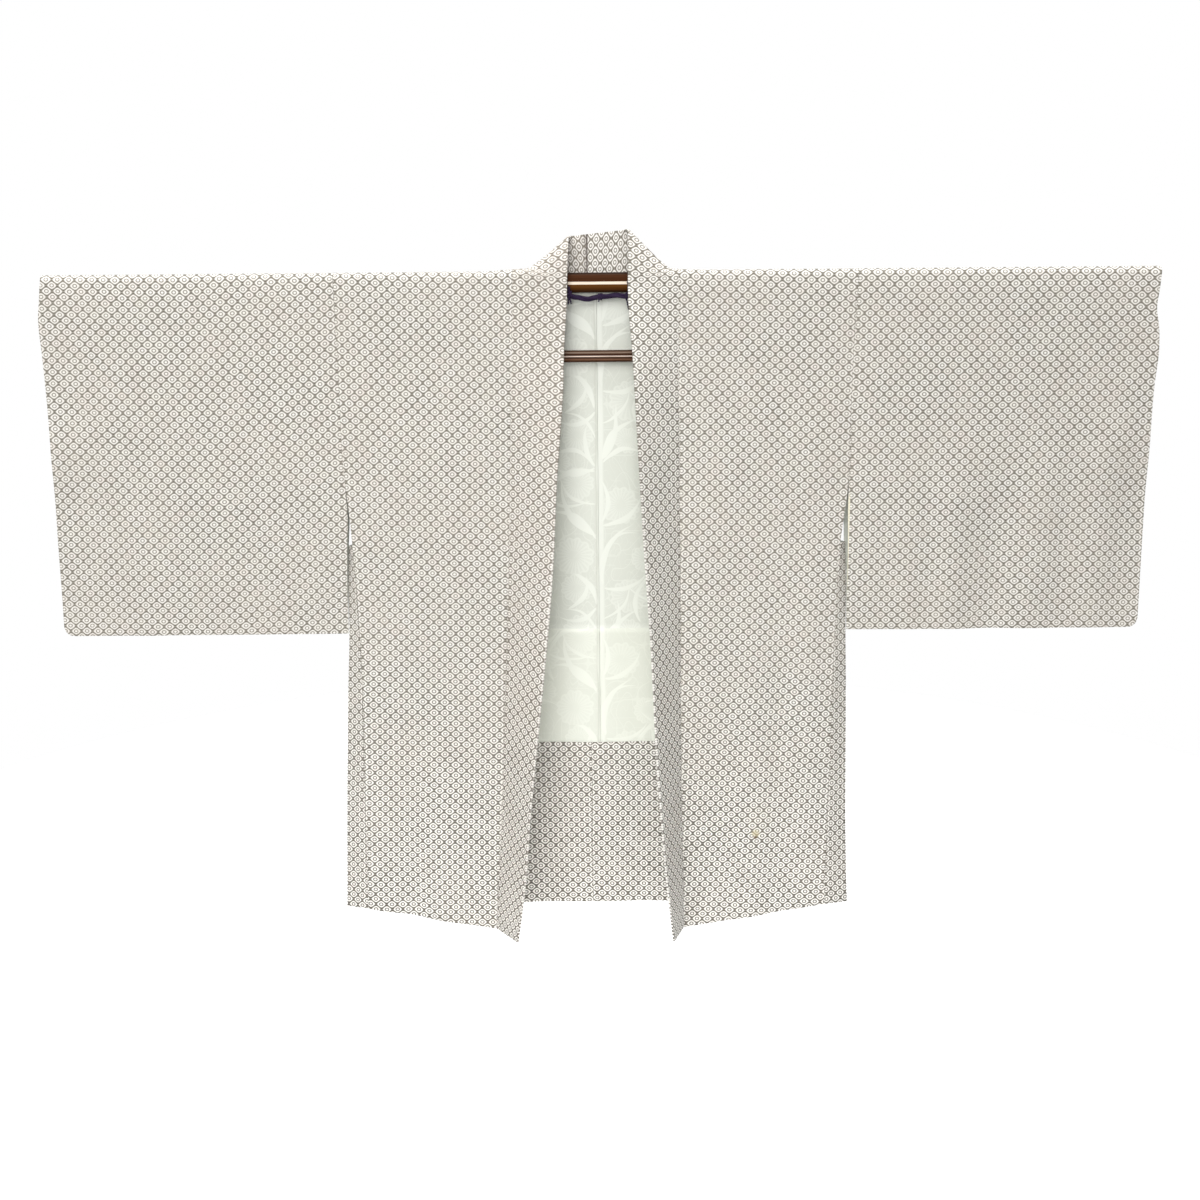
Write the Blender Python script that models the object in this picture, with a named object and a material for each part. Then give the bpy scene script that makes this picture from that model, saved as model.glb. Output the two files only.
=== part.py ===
"""A lined haori jacket on a kimono hanger, made from the pieces that its maker cuts.

Metres. +X is the wearer's left, -Y the front and +Z up. The origin is the middle of the
top face of the hanger's top bar, where the hanger is held. Node names end in _r and _l
for the wearer's right and left. "Out" is a distance from the middle plane towards the
node's own side, and a depth is a distance from the bar's middle plane, to front or back.
"""

import collections
import math

import bpy
import numpy as np

# --- Cloth ---
WALL = 0.0020
COLLAR_WALL = 0.0024
LINING_WALL = 0.0012
SEAM_GAP = 0.0003

# --- Hanger ---
TOP_BAR_LENGTH = 1.290
TOP_BAR_HEIGHT = 0.0234
TOP_BAR_DEPTH = 0.0150
TOP_BAR_ROUND = 0.0060
LOWER_BAR_LENGTH = 0.420
LOWER_BAR_HEIGHT = 0.0140
LOWER_BAR_DEPTH = 0.0090
LOWER_BAR_ROUND = 0.0025
LOWER_BAR_TOP = -0.0910
LOWER_BAR_Y = -0.0020
BAR_END_CHAMFER = 0.0020
CORD_HOLE_RADIUS = 0.0027
CORD_HOLE_OUT = 0.0375
CORD_HOLE_Z = -0.0117

# --- Cloth over the bar: the middle of the wall bends round the bar's two top edges ---
BAR_CLEARANCE = 0.0005
BEND = TOP_BAR_ROUND + BAR_CLEARANCE + WALL / 2
BEND_Y = TOP_BAR_DEPTH / 2 - TOP_BAR_ROUND
BEND_Z = -TOP_BAR_ROUND
FRONT_DEPTH = BEND_Y + BEND
BACK_DEPTH = FRONT_DEPTH + LINING_WALL + SEAM_GAP
BACK_BEND = BACK_DEPTH - BEND_Y

# --- Body ---
HEM = -0.800
FRONT_HEM_RISE = 0.003
FRONT_HEM_DROP = 0.030
HEM_EASE = (0.35, 0.80)
FRONT_GROWTH = 0.003
BACK_GROWTH = 0.002
BACK_SEAM_X = -0.012
NECK_DROP = 0.021
SHOULDER_FLAT = 0.170
ARMHOLE_LOW = -0.246
MACHI_TOP = -0.326
FACING_TOP = -0.584
LINING_SEAM_X = -0.001
LINING_TOP = -0.007
LINING_MARGIN = 0.002
FACING_MARGIN = 0.001
NECK_MARGIN = 0.001
FOLD_FADE = (0.10, 0.22)

# --- Sleeves ---
SLEEVE_DROP = 0.433
SLEEVE_STRAIGHT = 0.030
SLEEVE_CORNER = 0.012
CUFF_LOW = 0.235
SHUT_DEPTH = (WALL + SEAM_GAP) / 2
FURI_LINING = 0.0032

# --- Collar ---
TIP_RISE = 0.0095
TOP_EDGE_Z = 0.0443
MOST_SAG = 0.95

SIDES = {"r": -1, "l": 1}

Point = collections.namedtuple("Point", "z out")
CollarRow = collections.namedtuple("CollarRow", "z seam edge forward")
NeckSize = collections.namedtuple("NeckSize", "lift peak_out peak_z sag sag_power")
NeckRow = collections.namedtuple("NeckRow", "row climb run y sag")
Fold = collections.namedtuple("Fold", "top_out top_z low_out low_z width height")

# Side edge of the front and back panels: armhole seam, open slit, then gusset seam.
BODY_EDGE = {
    "r": (
        Point(0.000, 0.3120),
        Point(-0.100, 0.3103),
        Point(-0.246, 0.3078),
        Point(-0.290, 0.3040),
        Point(-0.326, 0.3018),
        Point(-0.380, 0.2992),
        Point(-0.460, 0.2968),
        Point(-0.600, 0.2980),
        Point(-0.800, 0.3005),
    ),
    "l": (
        Point(0.000, 0.3085),
        Point(-0.080, 0.3054),
        Point(-0.150, 0.3037),
        Point(-0.246, 0.3030),
        Point(-0.290, 0.2985),
        Point(-0.326, 0.2940),
        Point(-0.420, 0.2901),
        Point(-0.520, 0.2885),
        Point(-0.800, 0.2838),
    ),
}

# Inner edge of the sleeve below the armhole, where it hangs open.
FURI_EDGE = {
    "r": (
        Point(-0.246, 0.3081),
        Point(-0.290, 0.3064),
        Point(-0.326, 0.3078),
        Point(-0.380, 0.3094),
        Point(-0.433, 0.3098),
    ),
    "l": (
        Point(-0.246, 0.3033),
        Point(-0.290, 0.3030),
        Point(-0.326, 0.3030),
        Point(-0.380, 0.3034),
        Point(-0.433, 0.3040),
    ),
}

# Folded outer edge of the gusset.
MACHI_FOLD = {
    "r": (
        Point(-0.326, 0.3062),
        Point(-0.433, 0.3077),
        Point(-0.520, 0.3145),
        Point(-0.600, 0.3200),
        Point(-0.700, 0.3245),
        Point(-0.800, 0.3270),
    ),
    "l": (
        Point(-0.326, 0.2990),
        Point(-0.433, 0.3008),
        Point(-0.520, 0.3068),
        Point(-0.600, 0.3085),
        Point(-0.700, 0.3120),
        Point(-0.800, 0.3172),
    ),
}

# Outer end of the sleeve.
SLEEVE_TIP = {
    "r": (
        Point(0.000, 0.6600),
        Point(-0.024, 0.6628),
        Point(-0.046, 0.6660),
        Point(-0.092, 0.6652),
        Point(-0.190, 0.6630),
        Point(-0.290, 0.6622),
        Point(-0.433, 0.6636),
    ),
    "l": (
        Point(0.000, 0.6617),
        Point(-0.024, 0.6611),
        Point(-0.046, 0.6597),
        Point(-0.069, 0.6640),
        Point(-0.092, 0.6652),
        Point(-0.140, 0.6617),
        Point(-0.210, 0.6598),
        Point(-0.433, 0.6614),
    ),
}

# The front collar turns forward about its seam: more towards the hem, and more on the left.
COLLAR = {
    "r": (
        CollarRow(0.000, 0.1000, 0.0368, 0.0070),
        CollarRow(-0.030, 0.1006, 0.0370, 0.0080),
        CollarRow(-0.092, 0.1025, 0.0400, 0.0130),
        CollarRow(-0.138, 0.1044, 0.0416, 0.0200),
        CollarRow(-0.230, 0.1075, 0.0493, 0.0270),
        CollarRow(-0.360, 0.1118, 0.0570, 0.0340),
        CollarRow(-0.433, 0.1153, 0.0628, 0.0380),
        CollarRow(-0.575, 0.1226, 0.0762, 0.0450),
        CollarRow(-0.661, 0.1270, 0.0846, 0.0480),
        CollarRow(-0.765, 0.1326, 0.0933, 0.0510),
        CollarRow(-0.828, 0.1360, 0.1022, 0.0550),
    ),
    "l": (
        CollarRow(0.000, 0.0960, 0.0345, 0.0080),
        CollarRow(-0.030, 0.0962, 0.0348, 0.0110),
        CollarRow(-0.092, 0.0967, 0.0392, 0.0240),
        CollarRow(-0.140, 0.0971, 0.0425, 0.0320),
        CollarRow(-0.332, 0.0989, 0.0538, 0.0450),
        CollarRow(-0.446, 0.0999, 0.0613, 0.0500),
        CollarRow(-0.575, 0.1008, 0.0670, 0.0545),
        CollarRow(-0.649, 0.1015, 0.0729, 0.0570),
        CollarRow(-0.743, 0.1035, 0.0822, 0.0605),
        CollarRow(-0.828, 0.1050, 0.0925, 0.0625),
    ),
}

# At the shoulder the collar stands up from the seam to a peak beside the neck.
NECK = {
    "r": NeckSize(0.0043, 0.0354, 0.0420, 0.0075, 0.60),
    "l": NeckSize(0.0012, 0.0340, 0.0475, 0.0115, 0.50),
}

# Where a row of cloth lies: down the front at a height, over the bar at an angle, or down
# the back at a height.
FRONT_HEIGHTS = (
    -0.024, -0.046, -0.069, -0.092, -0.140, -0.190, -0.246, -0.286, -0.326,
    -0.380, -0.433, -0.500, -0.570, -0.640, -0.720, HEM,
)  # fmt: skip
OVER_ANGLES = (0, 30, 60, 80, 100, 120, 150, 180)
NECK_HEIGHTS = (-0.0110, -0.0150, -0.0185, -0.0206)
BACK_HEIGHTS = (
    -0.046, -0.069, -0.092, -0.140, -0.190, -0.246, -0.286, -0.326,
    -0.380, -0.433, -0.500, -0.570, -0.640, -0.720, HEM,
)  # fmt: skip
SLEEVE_HEIGHTS = (
    -0.024, -0.046, -0.069, -0.092, -0.140, -0.190, -0.246, -0.286, -0.326,
    -0.370, -0.410, -SLEEVE_DROP,
)  # fmt: skip

# The collar's free edge from the front, over the shoulder, to the centre back. "Climb" is
# how far it has risen to the peak, and "run" how far it has gone on to the centre back.
NECK_ROWS = (
    NeckRow(("front", -0.014), 0.00, 0.00, -0.0165, 0.30),
    NeckRow(("over", 0), 0.14, 0.00, -0.0165, 0.60),
    NeckRow(("over", 30), 0.40, 0.00, -0.0155, 0.90),
    NeckRow(("over", 60), 0.72, 0.00, -0.0120, 1.00),
    NeckRow(("over", 80), 0.94, 0.00, -0.0060, 1.00),
    NeckRow(("over", 100), 1.00, 0.02, 0.0005, 1.00),
    NeckRow(("over", 120), 1.00, 0.08, 0.0050, 1.00),
    NeckRow(("over", 150), 1.00, 0.16, 0.0085, 0.90),
    NeckRow(("over", 180), 1.00, 0.27, 0.0100, 0.75),
    NeckRow(("back", -0.0110), 1.00, 0.42, BACK_DEPTH, 0.50),
    NeckRow(("back", -0.0150), 1.00, 0.58, BACK_DEPTH, 0.30),
    NeckRow(("back", -0.0185), 1.00, 0.78, BACK_DEPTH, 0.10),
    NeckRow(("back", -0.0206), 1.00, 0.93, BACK_DEPTH, 0.00),
    NeckRow(("back", -NECK_DROP), 1.00, 1.00, BACK_DEPTH, 0.00),
)
CLIMB_FROM_Z = -0.010

# Soft upright folds. A positive height stands away from the hanger.
FRONT_FOLDS = {
    "r": (
        Fold(0.178, -0.12, 0.180, -0.48, 0.022, 0.0030),
        Fold(0.166, -0.42, 0.128, -0.70, 0.020, 0.0034),
        Fold(0.208, -0.58, 0.196, -0.98, 0.026, 0.0036),
        Fold(0.283, -0.55, 0.286, -0.98, 0.024, 0.0028),
        Fold(0.245, -0.50, 0.240, -0.98, 0.020, -0.0026),
        Fold(0.240, -0.10, 0.236, -0.36, 0.030, 0.0020),
    ),
    "l": (
        Fold(0.252, -0.30, 0.262, -0.74, 0.020, 0.0034),
        Fold(0.186, -0.34, 0.192, -0.98, 0.024, 0.0032),
        Fold(0.222, -0.40, 0.226, -0.90, 0.018, -0.0024),
        Fold(0.128, -0.20, 0.136, -0.60, 0.022, 0.0018),
        Fold(0.268, -0.10, 0.262, -0.30, 0.026, 0.0018),
    ),
}
BACK_FOLDS = {
    "r": (
        Fold(0.070, -0.10, 0.062, -0.98, 0.030, 0.0034),
        Fold(0.160, -0.14, 0.176, -0.66, 0.026, 0.0028),
        Fold(0.236, -0.30, 0.228, -0.98, 0.028, 0.0036),
        Fold(0.120, -0.44, 0.116, -0.98, 0.022, -0.0022),
    ),
    "l": (
        Fold(0.046, -0.20, 0.052, -0.98, 0.026, 0.0030),
        Fold(0.132, -0.10, 0.120, -0.58, 0.028, 0.0034),
        Fold(0.205, -0.26, 0.216, -0.98, 0.030, 0.0032),
        Fold(0.258, -0.12, 0.250, -0.46, 0.022, 0.0024),
    ),
}
SLEEVE_FOLDS = {
    "r": (
        Fold(0.655, -0.10, 0.652, -0.42, 0.030, 0.0040),
        Fold(0.470, -0.20, 0.462, -0.46, 0.024, 0.0028),
        Fold(0.560, -0.26, 0.556, -0.50, 0.022, 0.0022),
        Fold(0.400, -0.12, 0.392, -0.44, 0.026, 0.0018),
    ),
    "l": (
        Fold(0.428, -0.18, 0.436, -0.50, 0.020, 0.0046),
        Fold(0.486, -0.22, 0.484, -0.50, 0.020, -0.0034),
        Fold(0.540, -0.16, 0.532, -0.50, 0.026, 0.0036),
        Fold(0.378, -0.22, 0.382, -0.50, 0.018, 0.0026),
        Fold(0.618, -0.12, 0.606, -0.50, 0.022, 0.0030),
    ),
}

# Spacing of the columns of points across each piece, from its inner to its outer edge.
BODY_COLUMNS = np.linspace(0.0, 1.0, 11)
SLEEVE_COLUMNS = np.array((0, 0.07, 0.16, 0.27, 0.38, 0.5, 0.62, 0.74, 0.85, 0.93, 0.968, 0.99, 1))
MACHI_COLUMNS = np.array((-1, -0.6, -0.25, 0, 0.25, 0.6, 1))
COLLAR_COLUMNS = np.array((0, 0.18, 0.36, 0.54, 0.77, 1))

# --- Cord ---
CORD_RADIUS = 0.0021
SWAG_RADIUS = 0.0030
KNOT_SIZE = (0.0068, 0.0086, 0.0090)
KNOT_CENTRE = (0.0035, -0.0040, -0.0283)
CORD_STEP = 0.0045
LOOP_CORNERS = (
    (1, 1, (90, 60, 30, 0)),
    (1, -1, (0, -30, -60, -90)),
    (-1, -1, (-90, -120, -150, -180)),
    (-1, 1, (-180, -205)),
)
# Each side cord comes out of the bar's hole, hangs over the bar's lower half, and goes
# down behind the collar to the lower bar, which it carries in a loop.
SIDE_CORD = (
    (0.0375, 0.0030, CORD_HOLE_Z),
    (0.0375, -0.0070, CORD_HOLE_Z),
    (0.0375, -0.0090, -0.0123),
    (0.0375, -0.0101, -0.0140),
    (0.0376, -0.0104, -0.0190),
    (0.0380, -0.0100, -0.0255),
    (0.0400, -0.0080, -0.0340),
    (0.0440, -0.0050, -0.0480),
    (0.0470, -0.0030, -0.0660),
    (0.0478, -0.0008, -0.0820),
)
CORD_LOOP_OUT = 0.0480
# The slack cord under the bar hangs from the side cords and is tied in the middle.
SWAG = {
    "r": ((-0.0362, -0.0081, -0.0276), (-0.0305, -0.0058, -0.0277), (-0.0200, -0.0040, -0.0297),
          (-0.0118, -0.0040, -0.0306), (-0.0050, -0.0040, -0.0296), (-0.0004, -0.0040, -0.0285)),
    "l": ((0.0074, -0.0040, -0.0280), (0.0120, -0.0040, -0.0276), (0.0180, -0.0042, -0.0270),
          (0.0300, -0.0057, -0.0274), (0.0362, -0.0081, -0.0278)),
}  # fmt: skip

COLOURS = {
    "cloth": (0.68, 0.64, 0.57, 0.80),
    "lining": (0.78, 0.80, 0.70, 0.45),
    "lacquer": (0.10, 0.032, 0.011, 0.30),
    "cord": (0.036, 0.020, 0.055, 0.70),
}


# ---------------------------------------------------------------- tables and curves


def ramp(value, start, end):
    """0 up to start, 1 from end, and a soft step between."""
    share = np.clip((np.asarray(value, float) - start) / (end - start), 0.0, 1.0)
    return share * share * (3.0 - 2.0 * share)


def along(rows, column, z):
    """A table's column at height z, on a smooth curve through its rows."""
    downs = np.array([-row.z for row in rows])
    values = np.array([getattr(row, column) for row in rows])
    slopes = np.gradient(values, downs)
    down = np.clip(-np.asarray(z, float), downs[0], downs[-1])
    low = np.clip(np.searchsorted(downs, down) - 1, 0, len(downs) - 2)
    span = downs[low + 1] - downs[low]
    t = (down - downs[low]) / span
    start = (1 + 2 * t) * (1 - t) ** 2 * values[low] + t * (1 - t) ** 2 * span * slopes[low]
    end = t * t * (3 - 2 * t) * values[low + 1] + t * t * (t - 1) * span * slopes[low + 1]
    return start + end


def relief(folds, out, z):
    """The height of the folds at a place on the cloth."""
    total = 0.0
    for fold in folds:
        share = (fold.top_z - z) / (fold.top_z - fold.low_z)
        middle = fold.top_out + (fold.low_out - fold.top_out) * share
        fade = ramp(share, 0.0, 0.35) * (1.0 - ramp(share, 0.65, 1.0))
        total = total + fold.height * fade * np.exp(-(((out - middle) / fold.width) ** 2))
    return total


def unit(vector):
    return vector / np.linalg.norm(vector)


# ---------------------------------------------------------------- the body's surface


def seam_out(side, z):
    return along(COLLAR[side], "seam", z)


def body_edge(side, z):
    return along(BODY_EDGE[side], "out", z)


def front_height(side, out, level):
    """The front hem drops from the side to the collar, and the rows above it ease back to level."""
    share = (body_edge(side, HEM) - out) / (body_edge(side, HEM) - seam_out(side, HEM))
    return level + (FRONT_HEM_RISE - FRONT_HEM_DROP * share) * ramp(-level, *HEM_EASE)


def shoulder_lift(side, out):
    """How far the standing collar pulls the cloth beside it up off the bar."""
    top_seam = seam_out(side, 0.0)
    return NECK[side].lift * (1.0 - ramp(out, top_seam, SHOULDER_FLAT)) ** 4


def armhole_hold(side, out, z):
    """0 along the armhole, so that the body meets the sleeve, and 1 elsewhere."""
    near = 1.0 - ramp(body_edge(side, z) - out, 0.0, 0.05)
    return 1.0 - near * (1.0 - ramp(-z, -ARMHOLE_LOW, -MACHI_TOP))


def front_y(side, out, z):
    folds = relief(FRONT_FOLDS[side], out, z) * ramp(-z, *FOLD_FADE)
    return -(FRONT_DEPTH + FRONT_GROWTH * z / HEM + folds * armhole_hold(side, out, z))


def back_y(side, out, z):
    folds = relief(BACK_FOLDS[side], out, z) * ramp(-z, *FOLD_FADE)
    return BACK_DEPTH + BACK_GROWTH * z / HEM + folds * armhole_hold(side, out, z)


def over_bar(angle, back_bend):
    """(y, z) of the cloth where it bends over the bar, from 0 degrees in front to 180 behind."""
    turn = math.radians(angle)
    reach = BEND if angle < 90 else back_bend
    flat = BEND_Y if angle > 90 else -BEND_Y
    return flat - reach * math.cos(turn), BEND_Z + BEND * math.sin(turn)


def body_line(side, out, row):
    """Points of the body's cloth along one row, at the given distances out."""
    part, at = row
    lift = shoulder_lift(side, out)
    if part == "over":
        y, z = over_bar(at, BACK_BEND)
        ys, zs = np.full_like(out, y), z + lift
    elif part == "front":
        zs = front_height(side, out, at)
        ys = front_y(side, out, zs)
        zs = zs + lift * (1.0 - ramp(-at, -BEND_Z, 0.06))
    else:
        zs = np.full_like(out, at)
        ys = back_y(side, out, zs)
    return np.column_stack((SIDES[side] * out, ys, zs))


def neck_share(row):
    """How far a row lies from the shoulder's top to the lowest point of the back neck."""
    part, at = row
    bend_length = math.pi / 4 * (BEND + BACK_BEND)
    whole = BEND_Y + bend_length + NECK_DROP + BEND_Z
    if part == "front" or (part == "over" and at < 90):
        return 0.0
    if part == "over":
        return (BEND_Y + bend_length * (at - 90) / 90) / whole
    return min(1.0, (BEND_Y + bend_length + BEND_Z - at) / whole)


def inner_edge(side, row):
    """The body panel's edge towards the middle: collar seam, back neck, then centre seam."""
    part, at = row
    if part == "front":
        z = at
        for _ in range(4):
            z = front_height(side, seam_out(side, z), at)
        return float(seam_out(side, z))
    centre = SIDES[side] * BACK_SEAM_X + SEAM_GAP / 2
    share = neck_share(row)
    return centre + (seam_out(side, 0.0) - centre) * math.sqrt(1.0 - share * share)


def outer_edge(side, row):
    part, at = row
    z = 0.0 if part == "over" else at
    if part == "front":
        for _ in range(4):
            z = front_height(side, body_edge(side, z), at)
    return float(body_edge(side, z))


def body_rows():
    front = [("front", z) for z in reversed(FRONT_HEIGHTS)]
    over = [("over", angle) for angle in OVER_ANGLES]
    neck = [("back", z) for z in NECK_HEIGHTS + (-NECK_DROP,)]
    return front + over + neck + [("back", z) for z in BACK_HEIGHTS]


def body_panel(side):
    lines = []
    for row in body_rows():
        inner, outer = inner_edge(side, row), outer_edge(side, row)
        lines.append(body_line(side, inner + (outer - inner) * BODY_COLUMNS, row))
    return np.array(lines)


# ---------------------------------------------------------------- gusset


def machi(side):
    """A long wedge folded along its middle, between the front and back panels' side edges."""
    lines = []
    for level in [z for z in FRONT_HEIGHTS if z <= MACHI_TOP]:
        front = body_line(side, np.array([outer_edge(side, ("front", level))]), ("front", level))[0]
        back = body_line(side, np.array([outer_edge(side, ("back", level))]), ("back", level))[0]
        crease = (front + back) / 2
        crease[0] = SIDES[side] * along(MACHI_FOLD[side], "out", crease[2])
        ends = [moved_off(edge, crease, SIDES[side], WALL) for edge in (front, back)]
        line = [crease + (ends[int(w > 0)] - crease) * abs(w) for w in MACHI_COLUMNS]
        lines.append(line)
    return np.array(lines)


def moved_off(edge, towards, outward, thickness):
    """A seam point moved along X until a wall that turns away there clears its neighbour."""
    turn = unit(towards - edge)
    clear = SEAM_GAP + thickness / 2 * math.hypot(turn[1], turn[2])
    return edge + np.array((outward * clear, 0.0, 0.0))


# ---------------------------------------------------------------- sleeve


def sleeve_inner(side, z):
    """The sleeve's inner edge: beside the armhole seam, then hanging open."""
    sewn = body_edge(side, z) + SEAM_GAP
    return np.where(np.asarray(z) >= ARMHOLE_LOW, sewn, along(FURI_EDGE[side], "out", z))


def sleeve_shut(side, out, z):
    """0 where front and back stand apart as they do at the bar, and 1 where they are sewn."""
    inner, tip = sleeve_inner(side, z), along(SLEEVE_TIP[side], "out", z)
    down = np.clip((-z - SLEEVE_STRAIGHT) / (SLEEVE_DROP - SLEEVE_STRAIGHT), 0.0, 1.0)
    closing = down ** (5.0 - 3.2 * ramp(out - inner, 0.0, 0.12))
    pinch = ramp(out, tip - 0.09, tip - 0.004) * ramp(-z, CUFF_LOW - 0.03, CUFF_LOW + 0.05)
    return 1.0 - (1.0 - closing) * (1.0 - pinch)


def sleeve_sway(side, out, z):
    """Folds that carry the sleeve's front and back together."""
    away = ramp(out - sleeve_inner(side, z), 0.0, 0.05)
    return relief(SLEEVE_FOLDS[side], out, z) * away * ramp(-z, *FOLD_FADE)


def sleeve_line(side, row):
    part, at = row
    z = np.array([0.0 if part == "over" else at])
    inner, tip = sleeve_inner(side, z), along(SLEEVE_TIP[side], "out", z)
    if side == "l" and part == "back":
        inner = inner - FURI_LINING * ramp(-z, 0.25, 0.29) * (1.0 - ramp(-z, 0.32, 0.37))
    out = inner + (tip - inner) * SLEEVE_COLUMNS
    back_depth = BACK_DEPTH + (FRONT_DEPTH - BACK_DEPTH) * ramp(out - inner, 0.0, 0.06)
    if part == "over":
        places = [over_bar(at, depth - BEND_Y) for depth in back_depth]
        ys, zs = np.array(places).T
    else:
        past_corner = np.clip(out - (tip - SLEEVE_CORNER), 0.0, SLEEVE_CORNER)
        corner = SLEEVE_CORNER - np.sqrt(SLEEVE_CORNER**2 - past_corner**2)
        zs = at + corner * ramp(-at, 0.36, SLEEVE_DROP)
        depth = FRONT_DEPTH if part == "front" else back_depth
        depth = depth + (SHUT_DEPTH - depth) * sleeve_shut(side, out, zs)
        ys = depth * (-1 if part == "front" else 1) - sleeve_sway(side, out, zs)
    return np.column_stack((SIDES[side] * out, ys, zs))


def sleeve(side):
    front = [("front", z) for z in reversed(SLEEVE_HEIGHTS)]
    over = [("over", angle) for angle in OVER_ANGLES]
    back = [("back", z) for z in SLEEVE_HEIGHTS]
    return np.array([sleeve_line(side, row) for row in front + over + back])


# ---------------------------------------------------------------- collar


def seam_frame(side, row):
    """A point of the body's neck edge, and the way across it, in the cloth, into the neck."""
    part, at = row
    out = inner_edge(side, row)
    point = body_line(side, np.array([out]), row)[0]
    share = neck_share(row)
    centre = SIDES[side] * BACK_SEAM_X
    half_width = seam_out(side, 0.0) - centre
    whole = BEND_Y + math.pi / 4 * (BEND + BACK_BEND) + NECK_DROP + BEND_Z
    across = unit(np.array((math.sqrt(1.0 - share * share) / half_width, share / whole)))
    turn = math.radians(at if part == "over" else (0 if part == "front" else 180))
    down_the_back = np.array((0.0, math.sin(turn), math.cos(turn)))
    return point, across[0] * np.array((-SIDES[side], 0.0, 0.0)) - across[1] * down_the_back


def front_edge_point(side, level):
    """The collar's free edge in front, at the row that starts at this level of the seam."""
    seam = body_line(side, np.array([inner_edge(side, ("front", level))]), ("front", level))[0]
    rise = TIP_RISE * ramp(-level, 0.30, 0.80)
    forward = along(COLLAR[side], "forward", seam[2])
    out = along(COLLAR[side], "edge", seam[2])
    return np.array((SIDES[side] * out, seam[1] - forward, seam[2] + rise))


def neck_edge_point(side, row):
    """The collar's free edge round the neck, from the front to the centre back."""
    size = NECK[side]
    top_out = along(COLLAR[side], "edge", 0.0)
    centre = SIDES[side] * BACK_SEAM_X + SEAM_GAP / 2
    out = top_out + (size.peak_out - top_out) * row.climb
    out = out + (centre - out) * row.run
    z = CLIMB_FROM_Z + (size.peak_z - CLIMB_FROM_Z) * row.climb
    z = z + (TOP_EDGE_Z - z) * row.run
    return np.array((SIDES[side] * out, row.y, z))


def collar(side):
    """A band from the body's front and neck edge to a free edge, as rows of points across it."""
    stops = [(("front", z), front_edge_point(side, z), 0.0) for z in reversed(FRONT_HEIGHTS)]
    stops += [(row.row, neck_edge_point(side, row), row.sag) for row in NECK_ROWS]
    size, lines = NECK[side], []
    for row, free, sag in stops:
        seam, across = seam_frame(side, row)
        rise = max(0.0, free[2] - seam[2])
        hang = size.sag * sag * np.sin(math.pi * COLLAR_COLUMNS**size.sag_power)
        hang = np.minimum(hang, MOST_SAG * rise * COLLAR_COLUMNS)
        line = np.outer(COLLAR_COLUMNS, free - seam)
        line[:, 2] -= hang
        turned = np.linalg.norm(np.cross(across, unit(line[1])))
        shift = across * (SEAM_GAP + COLLAR_WALL / 2 * turned)
        lines.append(seam + line + np.outer(1.0 - COLLAR_COLUMNS, shift))
    return np.array(lines)


# ---------------------------------------------------------------- inside the back


def back_row(side, level):
    """X and Y of a back panel's points along one row, from the centre seam outwards."""
    row = ("back", level)
    inner, outer = inner_edge(side, row), outer_edge(side, row)
    points = body_line(side, inner + (outer - inner) * BODY_COLUMNS, row)
    return points[:, 0], points[:, 1]


def inside_back(side, level, seam_x, margin, offset):
    """A row of points inside the back: at a seam, then at each of the panel's columns."""
    both = [back_row(other, level) for other in SIDES]
    order = np.argsort(np.concatenate([xs for xs, _ in both]))
    panel_x = np.concatenate([xs for xs, _ in both])[order]
    panel_y = np.concatenate([ys for _, ys in both])[order]
    sign = SIDES[side]
    start = sign * seam_x + SEAM_GAP / 2
    out = np.array([start] + [x for x in sign * back_row(side, level)[0] if x > start + 0.001])
    out[-1] -= margin
    y = np.interp(sign * out, panel_x, panel_y)
    return np.column_stack((sign * out, y - offset, np.full_like(out, level)))


def lining_back(side):
    """The lining of the back, 0.3 mm inside it, from the back neck to the facing."""
    offset = (WALL + LINING_WALL) / 2 + SEAM_GAP
    levels = [z for z in BACK_HEIGHTS if z > FACING_TOP] + [FACING_TOP + SEAM_GAP / 2]
    lines = [inside_back(side, z, LINING_SEAM_X, LINING_MARGIN, offset) for z in levels]
    top = lines[0].copy()
    neck_centre = SIDES[side] * BACK_SEAM_X
    half_width = seam_out(side, 0.0) - neck_centre
    share = np.clip((SIDES[side] * top[:, 0] - neck_centre) / half_width, -1.0, 1.0)
    top[:, 2] = np.minimum(LINING_TOP, -(NECK_DROP + NECK_MARGIN) * np.sqrt(1.0 - share**2))
    top[:, 1] = BACK_DEPTH + BACK_GROWTH * top[:, 2] / HEM - offset
    return np.array([top] + lines)


def hem_facing(side):
    """The outer cloth turned up inside the back hem."""
    levels = [FACING_TOP - SEAM_GAP / 2] + [z for z in BACK_HEIGHTS if z < FACING_TOP]
    return np.array(
        [inside_back(side, z, BACK_SEAM_X, FACING_MARGIN, WALL + SEAM_GAP) for z in levels]
    )


# ---------------------------------------------------------------- Blender objects


def clear_scene():
    for obj in list(bpy.data.objects):
        bpy.data.objects.remove(obj, do_unlink=True)


def material(name, colour):
    """A node's own material, from one of the COLOURS."""
    red, green, blue, roughness = COLOURS[colour]
    made = bpy.data.materials.new(name)
    made.use_nodes = True
    shader = made.node_tree.nodes["Principled BSDF"]
    shader.inputs["Base Color"].default_value = (red, green, blue, 1.0)
    shader.inputs["Roughness"].default_value = roughness
    return made


def add_object(name, data, colour):
    obj = bpy.data.objects.new(name, data)
    bpy.context.collection.objects.link(obj)
    if colour:
        data.materials.append(material(name, colour))
    return obj


def mesh_from(name, points, faces):
    mesh = bpy.data.meshes.new(name)
    mesh.from_pydata([tuple(map(float, point)) for point in points], [], faces)
    mesh.validate()
    mesh.shade_smooth()
    return mesh


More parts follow.
